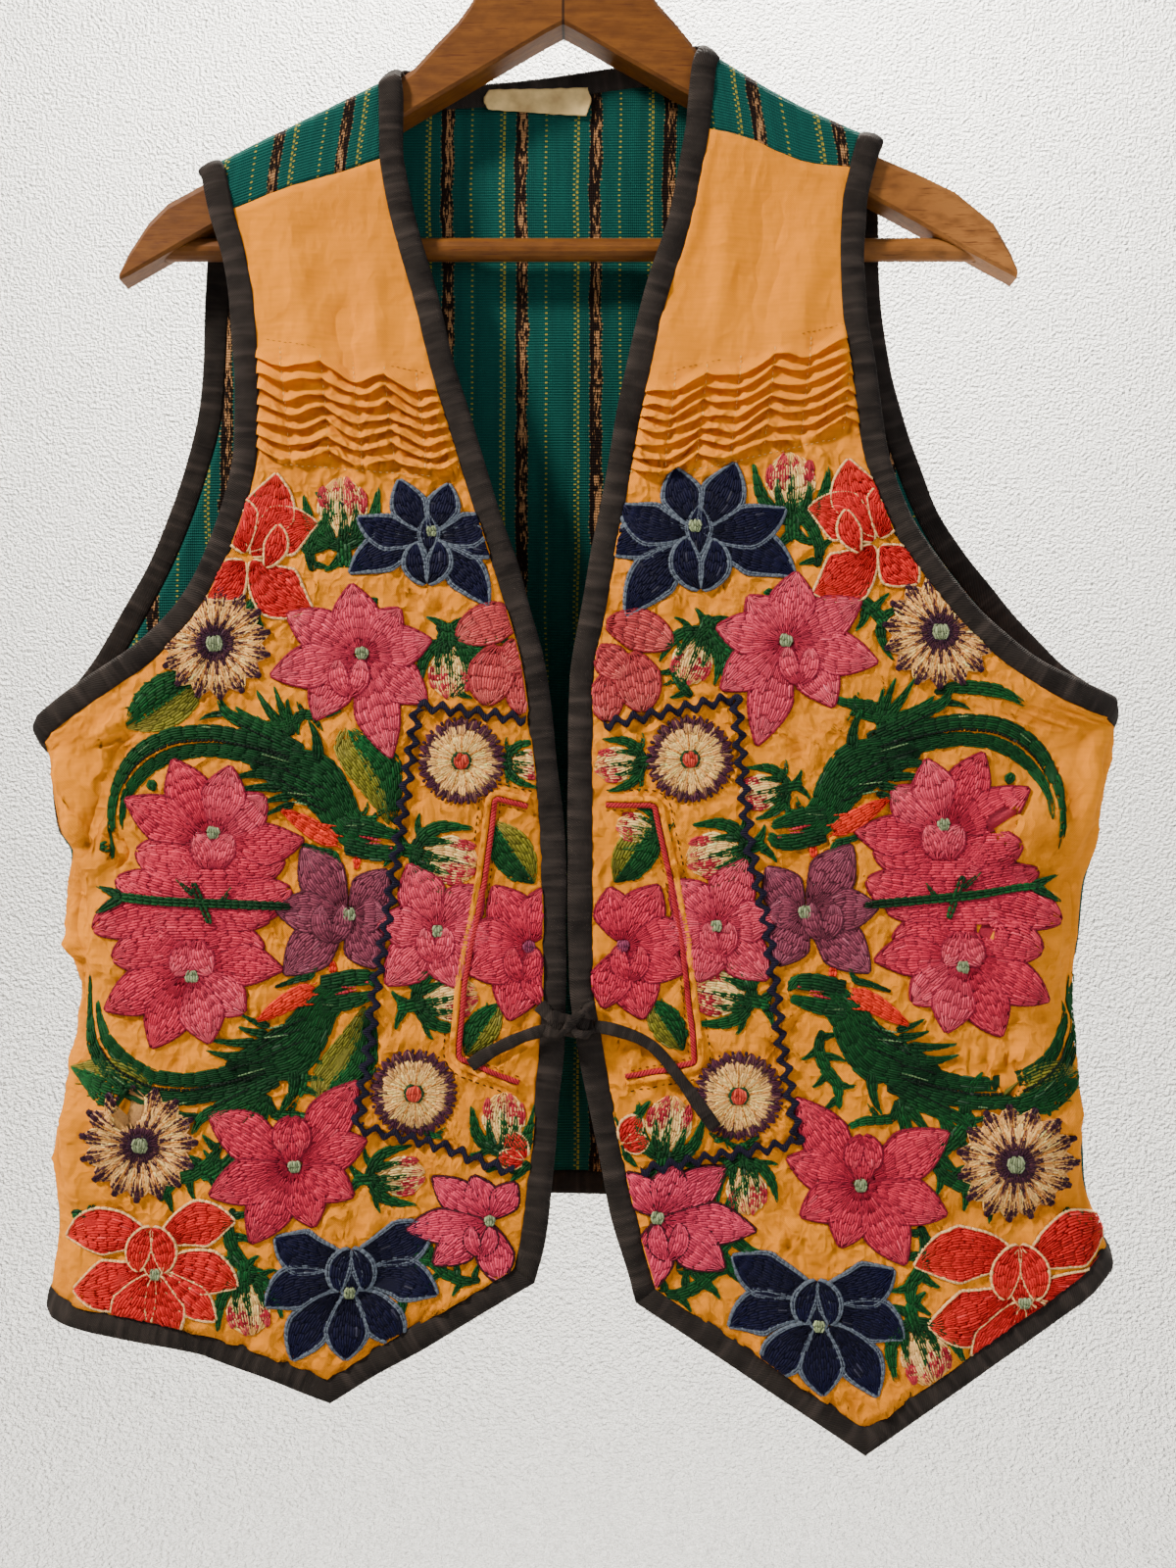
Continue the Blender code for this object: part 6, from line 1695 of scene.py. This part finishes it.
def evened(path, normal, step, corner=None):
    """Path and normals at even steps, with the corner's own point kept."""
    reach = reach_of(path)
    at = np.linspace(0, reach[-1], 1 + int(round(reach[-1] / step)))
    if corner is not None:
        at[np.argmin(np.abs(at - reach[corner]))] = reach[corner]
    path = np.stack([np.interp(at, reach, path[:, i]) for i in range(3)], axis=-1)
    normal = unit(np.stack([np.interp(at, reach, normal[:, i]) for i in range(3)], axis=-1))
    kernel = np.array([0.2, 0.6, 0.2])
    if corner is None:
        inner = np.stack([np.convolve(path[:, i], kernel, "valid") for i in range(3)], axis=-1)
        path = np.concatenate([path[:1], inner, path[-1:]])
    return path, normal


WANDER_LENGTH = 46  # of the slow changes of the tape's width
GATHER_LENGTH = 6.5  # of its puckers
TAPE_RING = np.array([  # inwards from the edge, and out from the cloth's inner face
    (-1.0, 1.2), (-0.9, 0.2), (0.2, -0.5), (3.4, -0.6), (7.0, -0.6), (9.6, -0.45), (10.4, 0.3), (10.6, 1.0),
    (10.1, 1.9), (8.2, 2.9), (5.2, 3.3), (2.4, 3.0), (0.3, 2.4), (-0.8, 1.8),
])


def bias_strip(name, path, normal, away, seed, closed=False, lead=None, trail=None):
    """A folded tape along an edge. At each point it lies in the plane that halves the path's corner."""
    before = np.roll(path, 1, axis=0)
    after = np.roll(path, -1, axis=0)
    if not closed:
        before[0] = 2 * path[0] - path[1] if lead is None else lead
        after[-1] = 2 * path[-1] - path[-2] if trail is None else trail
    side_in = unit(np.cross(path - before, normal)) * away
    side_out = unit(np.cross(after - path, normal)) * away
    mitre = unit(side_in + side_out)
    stretch = 1 / np.clip(np.sum(mitre * side_in, axis=-1), 0.5, 1)
    along = reach_of(path)
    ring = np.broadcast_to(TAPE_RING, (len(path), *TAPE_RING.shape)).copy()
    ends = np.ones(len(path)) if closed else np.clip(np.minimum(along, along[-1] - along) / 6, 0, 1)
    wander = ripple(along, 0 * along, WANDER_LENGTH, seed) * 0.45 * ends
    gather = ripple(along[:, None], ring[..., 0] * 0.35, GATHER_LENGTH, seed + 1) * 0.45 * ends[:, None]
    ring[..., 0] += np.clip(ring[..., 0] / 10, 0, 1) * wander[:, None]
    ring[..., 0] *= stretch[:, None]
    is_top = ring[..., 1] > 1.5
    ring[..., 1] += np.where(is_top, gather, 0.0)
    return carried(name, path, mitre, normal, ring, charcoal_bias, closed)


BINDING_STEP = 2.2
TUCK_KEPT = 7  # of the closely set rows in the tucks, the edge's path keeps one in so many
_, rows_above, _, rows_between, _ = FRONT_LEVELS["left"]["rows"] * ROW_FINE  # above and below the tucks
rows_tucked = rows_above + TUCKS * TUCK_ROWS * TUCK_FINE
row_under = rows_tucked + rows_between  # the front's row at the underarm
row = np.arange(len(fronts["left"]["inner"]))
kept_rows = row[(row < rows_above) | (row > rows_tucked) | (row % TUCK_KEPT == 0)]
neck_part = slice(BACK_SEAM_COLUMNS * BACK_FINE, (BACK_SEAM_COLUMNS + BACK_NECK_COLUMNS) * BACK_FINE + 1)
neck_edge = back["inner"][0][neck_part], back["normal"][0][neck_part]
above_underarm = slice(0, BACK_ROWS_ABOVE * BACK_FINE + 1)


def edge(piece, column, rows=slice(None), step=1):
    """The points and normals of a panel's edge: one column of its inner face."""
    return piece["inner"][rows, column][::step], piece["normal"][rows, column][::step]


front_corner = {side: fronts[side]["inner"][-1, 2] for side in SIDES}
path, normal = joined(edge(fronts["left"], 0, kept_rows, -1), edge(yokes["left"], 0), neck_edge,
                      edge(yokes["right"], 0, step=-1), edge(fronts["right"], 0, kept_rows))
path, normal = evened(path, normal, BINDING_STEP)
bindings = {"neck": bias_strip("binding_neck_tape", path, normal, 1, 21, lead=front_corner["left"],
                               trail=front_corner["right"])}
for side, away in (("left", -1), ("right", 1)):
    path, normal = joined(edge(fronts[side], -1, kept_rows[kept_rows <= row_under], -1),
                          edge(yokes[side], -1),
                          edge(back, 0 if side == "left" else -1, above_underarm))
    path, normal = evened(path, normal, BINDING_STEP)
    path[0] = (path[0] + path[-1]) / 2
    normal[0] = unit(normal[0] + normal[-1])
    bindings["armhole_" + side] = bias_strip(f"binding_armhole_{side}_tape", path[:-1], normal[:-1], away,
                                             30 + away, closed=True)
    path, normal = evened(fronts[side]["inner"][-1], fronts[side]["normal"][-1], BINDING_STEP,
                          corner=HEM_POINT_COLUMN * FINE)
    bindings["hem_" + side] = bias_strip(f"binding_hem_{side}_tape", path, normal, away, 40 + away,
                                         lead=fronts[side]["inner"][-4, 0])
path, normal = evened(back["inner"][-1], back["normal"][-1], BINDING_STEP)
bindings["hem_back"] = bias_strip("binding_hem_back_tape", path, normal, -1, 50)
for name, piece in bindings.items():
    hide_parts("binding_" + name)

# %% [markdown]
# ## Trim, label and hanger
# The rickrack is a braid woven in waves and sewn flat. The inset is edged with a rose cord and a
# fold of the gold cloth beside it. The label is a bare cotton tape. The hanger's solids are right as
# they are, so they keep their shapes and only take a finish.

# %% Trim
def route(rows, spacing):
    """Even places along a route given by its corners, and the sideways direction at each."""
    corners = np.stack([rows["out"], rows["z"]], axis=1)
    reach = reach_of(corners)
    at = np.linspace(0, reach[-1], 1 + int(round(reach[-1] / spacing)))
    places = np.stack([np.interp(at, reach, corners[:, 0]), np.interp(at, reach, corners[:, 1])], axis=1)
    kernel = np.ones(5) / 5
    places[2:-2] = np.stack([np.convolve(places[:, i], kernel, "valid") for i in range(2)], axis=-1)
    way = unit(np.gradient(places, axis=0))
    return places, np.stack([way[:, 1], -way[:, 0]], axis=1), at


RIBBON_RING = np.array([
    (-1, 0.1), (-0.85, 0.75), (-0.4, 1), (0.4, 1), (0.85, 0.75), (1, 0.1), (0.5, -0.25), (-0.5, -0.25),
])


def on_front(name, side, places, sideways, half, low, high, material):
    """A ribbon laid on a front: a ring of 8 points, half its width to each side, from low to high."""
    at = places[:, None] + sideways[:, None] * (RIBBON_RING[:, 0] * half)[:, None]
    height = low + RIBBON_RING[:, 1] * (high - low)
    girth, z = clamped(side, girth_at(side, at[..., 0], at[..., 1]), at[..., 1])
    points, _ = front_surface(side, girth, z, np.broadcast_to(height, girth.shape))
    uv = np.stack(np.broadcast_arrays(reach_of(places)[:, None], RIBBON_RING[:, 0] * half), axis=-1)
    return put(name, points.reshape(-1, 3), tube_faces(len(places), 8), material,
               uv=uv.reshape(-1, 2))


WAVE_REACH = 1.75  # the braid's middle swings so far to each side
FOLD_ASIDE = 3.0  # from the piping's cord to the fold beside it
for side in SIDES:
    places, sideways, at = route(BRAID[side], 0.7)
    wave = WAVE_REACH * np.sin(at * 2 * math.pi / BRAID_WAVE + 0.4 * ripple(at, 0 * at, 60, 3))
    braid = on_front(f"rickrack_{side}_braid", side, places + sideways * wave[:, None], sideways, 1.9, 0.6,
                     2.2, navy_braid)
    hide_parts("rickrack_" + side)
    places, sideways, at = route(PIPING[side], 1.0)
    loose = 0.35 * ripple(at, 0 * at, 22, 9)[:, None]
    cord = on_front(f"piping_{side}_cord", side, places + sideways * loose, sideways, 1.25, 0.4, 2.1,
                    rose_piping)
    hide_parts("piping_" + side)
    on_front(f"piping_{side}_fold", side, places + sideways * (loose - FOLD_ASIDE), sideways, 1.6, 0.2,
             1.7, gold_cotton)

# %% Label and hanger
s, t = np.meshgrid(np.linspace(0, 1, 53), np.linspace(0, 1, 14), indexing="xy")
box_x, box_z = LABEL_BOX["x"], LABEL_BOX["z"]
x = blend(blend(box_x[0], box_x[1], s), blend(box_x[3], box_x[2], s), t)
z = blend(blend(box_z[0], box_z[1], s), blend(box_z[3], box_z[2], s), t)
ends = np.clip((np.abs(s - 0.5) - 0.42) / 0.08, 0, 1) * np.sign(s - 0.5)
x = x + ends * (0.7 * ripple(z, 0 * z, 3, 2) - 1.6 * (2 * t - 1) ** 2)
z = z + 0.25 * ripple(x, 0 * x, 6, 4) * np.abs(2 * t - 1) ** 6
base = back_point(x, z)
normal = outward(back_point, x, z, -(base * [1, 1, 0]))
off = 1.0 + 0.22 * ripple(x, z, 14, 6) + 0.7 * np.clip(s - 0.93, 0, 1) / 0.07 * t
label = wall("label_tape", base - normal * (off + 0.5)[..., None], base - normal * off[..., None],
             np.stack([x, z], axis=-1), cream_label, "cream_label")
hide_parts("label")
for name, material in (("hanger_arms", hanger_wood), ("hanger_bar", hanger_wood),
                       ("hanger_hook", hook_steel)):
    bpy.data.objects[name].material_slots[0].material = material

# %% [markdown]
# ## Hand and machine stitches
# Thin gold thread holds the tucks down along upright lines and in short rows above and below the
# band. A dark thread runs round outside the inset, where the panel below is sewn on.

# %% Running stitches
def running(places, length, gap, width, colour, height, low, wobble):
    """Short grains along a line of places, each `length` long with `gap` between them, set off the line by
    up to `wobble`."""
    rng = np.random.default_rng(len(places))
    reach = reach_of(places)
    start = np.arange(0, reach[-1] - length, length + gap)
    at = start[:, None] + length * STATIONS * (1 + rng.uniform(-0.15, 0.15, (len(start), 1)))
    where = np.stack([np.interp(at, reach, places[:, i]) for i in range(2)], axis=-1)
    where = where + rng.uniform(-wobble, wobble, (len(start), 1, 2))
    tint = np.array(linear(colour)) * (1 + rng.uniform(-0.2, 0.2, len(start)))[:, None]
    return where, np.full(at.shape, low), np.full(len(start), width), np.full(len(start), height), tint


def band_z(side, out, level):
    """Height of the tuck band's top (level 1) or foot (level 2) so far out."""
    at_edge = np.full(np.shape(out), FRONT_LEVELS[side]["z_edge"][level])
    return level_z(side, level, across_front(side, girth_at(side, out, at_edge), at_edge))


BAND_ENDS = {"left": (58, 142), "right": (46, 138)}  # how far out the rows by the band begin and end
for side, (first, last) in BAND_ENDS.items():
    rows = []
    for line in TUCK_STITCHES[side]:
        z = np.linspace(band_z(side, np.array([line + 3.0]), 1)[0] + 1,
                        band_z(side, np.array([line - 2.0]), 2)[0] - 1, 40)
        rows.append(running(np.stack([np.linspace(line + 3.0, line - 2.6, 40), z], axis=1), 1.5, 0.9, 0.28,
                            "#F4C068", 0.3, 0.15, 0.35))
    for level, shift, start, stop, colour in (
            (1, 3.5, last - 26, last - 2, "#B8701C"), (1, 1.5, first + 2, first + 30, "#B8701C"),
            (2, -4.0, first + 4, last - 10, "#F4C878")):
        out = np.linspace(start, stop, 40)
        line = np.stack([out, band_z(side, out, level) + shift], axis=1)
        rows.append(running(line, 1.6, 1.2, 0.25, colour, 0.25, 0.1, 0.25))
    places, sideways, _ = route(PIPING[side], 1.0)
    rows.append(running(places - sideways * 7.2, 2.2, 1.3, 0.32, "#2A160C", 0.4, 0.2, 0.2))
    rows.append(running(places + sideways * 2.4, 1.8, 1.6, 0.25, "#5A2A10", 0.3, 0.2, 0.2))
    laid = (np.concatenate([row[k] for row in rows]) for k in range(5))
    points, faces, colours = stitch_mesh(side, *laid)
    put(f"sewing_{side}", points, faces, floss, thread=colours)

# %% [markdown]
# ## The pieces sewn onto each front
# For each front, a list is made of the names of its stitches, padding, braid, piping and sewing. It is
# not used further.

# %% Names of the pieces on each front
for side in SIDES:
    sewn_on = [f"{kind}_{side}_{part}" for kind in ("flowers_upper", "flowers_lower", "leaves")
               for part in ("stitches", "padding")]
    sewn_on += [f"rickrack_{side}_braid", f"piping_{side}_cord", f"piping_{side}_fold", f"sewing_{side}"]

# %% [markdown]
# ## Wall, floor and light
# A pale plastered wall far behind, joined to a low floor by a wide curve, so that nothing stands close
# behind. Soft light comes from a large source at the upper left and front, weaker light from the right.

# %% Backdrop
plaster, tree, shader = finish_of("white_plaster", 0.95)
dress(tree, shader, "#F6F4F0", [], (noise(tree, object_place(tree), 6.5, 3.0), 52.0))
profile = np.concatenate([np.stack([np.linspace(-3.4, 1.6, 6), np.full(6, -1.7)], axis=1),
                          np.stack([1.6 + 1.0 * np.sin(np.linspace(0.1, math.pi / 2, 16)),
                                    -0.7 - 1.0 * np.cos(np.linspace(0.1, math.pi / 2, 16))], axis=1),
                          np.stack([np.full(5, 2.6), np.linspace(-0.2, 3.2, 5)], axis=1)])
across = np.linspace(-4.5, 4.5, 10)
sweep = np.stack(np.broadcast_arrays(across[None, :], profile[:, :1], profile[:, 1:]), axis=-1)
sweep_mesh = bpy.data.meshes.new("backdrop")
sweep_mesh.from_pydata(sweep.reshape(-1, 3).tolist(), [], grid_faces(len(profile), 10).tolist())
sweep_mesh.shade_smooth()
sweep_mesh.materials.append(plaster)
backdrop = bpy.data.objects.new("backdrop", sweep_mesh)
bpy.context.scene.collection.objects.link(backdrop)


def lamp(name, power, size, place, aim, colour):
    """A square soft light of this size in metres, turned to its aim."""
    data = bpy.data.lights.new(name, "AREA")
    data.energy = power
    data.size = size
    data.color = linear(colour)
    made = bpy.data.objects.new(name, data)
    made.location = place
    way = np.array(aim) - np.array(place)
    flat = math.hypot(way[0], way[1])
    made.rotation_euler = (math.atan2(flat, -way[2]), 0.0, math.atan2(way[1], way[0]) - math.pi / 2)
    bpy.context.scene.collection.objects.link(made)
    return made


lamp("window", 166.0, 0.36, (-1.85, -1.2, 1.3), (0.0, 0.0, -0.45), "#FFF6EC")
lamp("fill", 34.0, 1.8, (2.2, -1.4, -0.2), (0.0, 0.0, -0.5), "#F8F8FF")
lamp("wall_light", 665.0, 0.5, (0.15, 1.0, 2.0), (-0.05, 2.6, -0.5), "#FFFCF4")
world = bpy.data.worlds.new("room")
bpy.context.scene.world = world
world.use_nodes = True
world.node_tree.nodes["Background"].inputs["Color"].default_value = (*linear("#EEF1F5"), 1.0)
world.node_tree.nodes["Background"].inputs["Strength"].default_value = 0.45
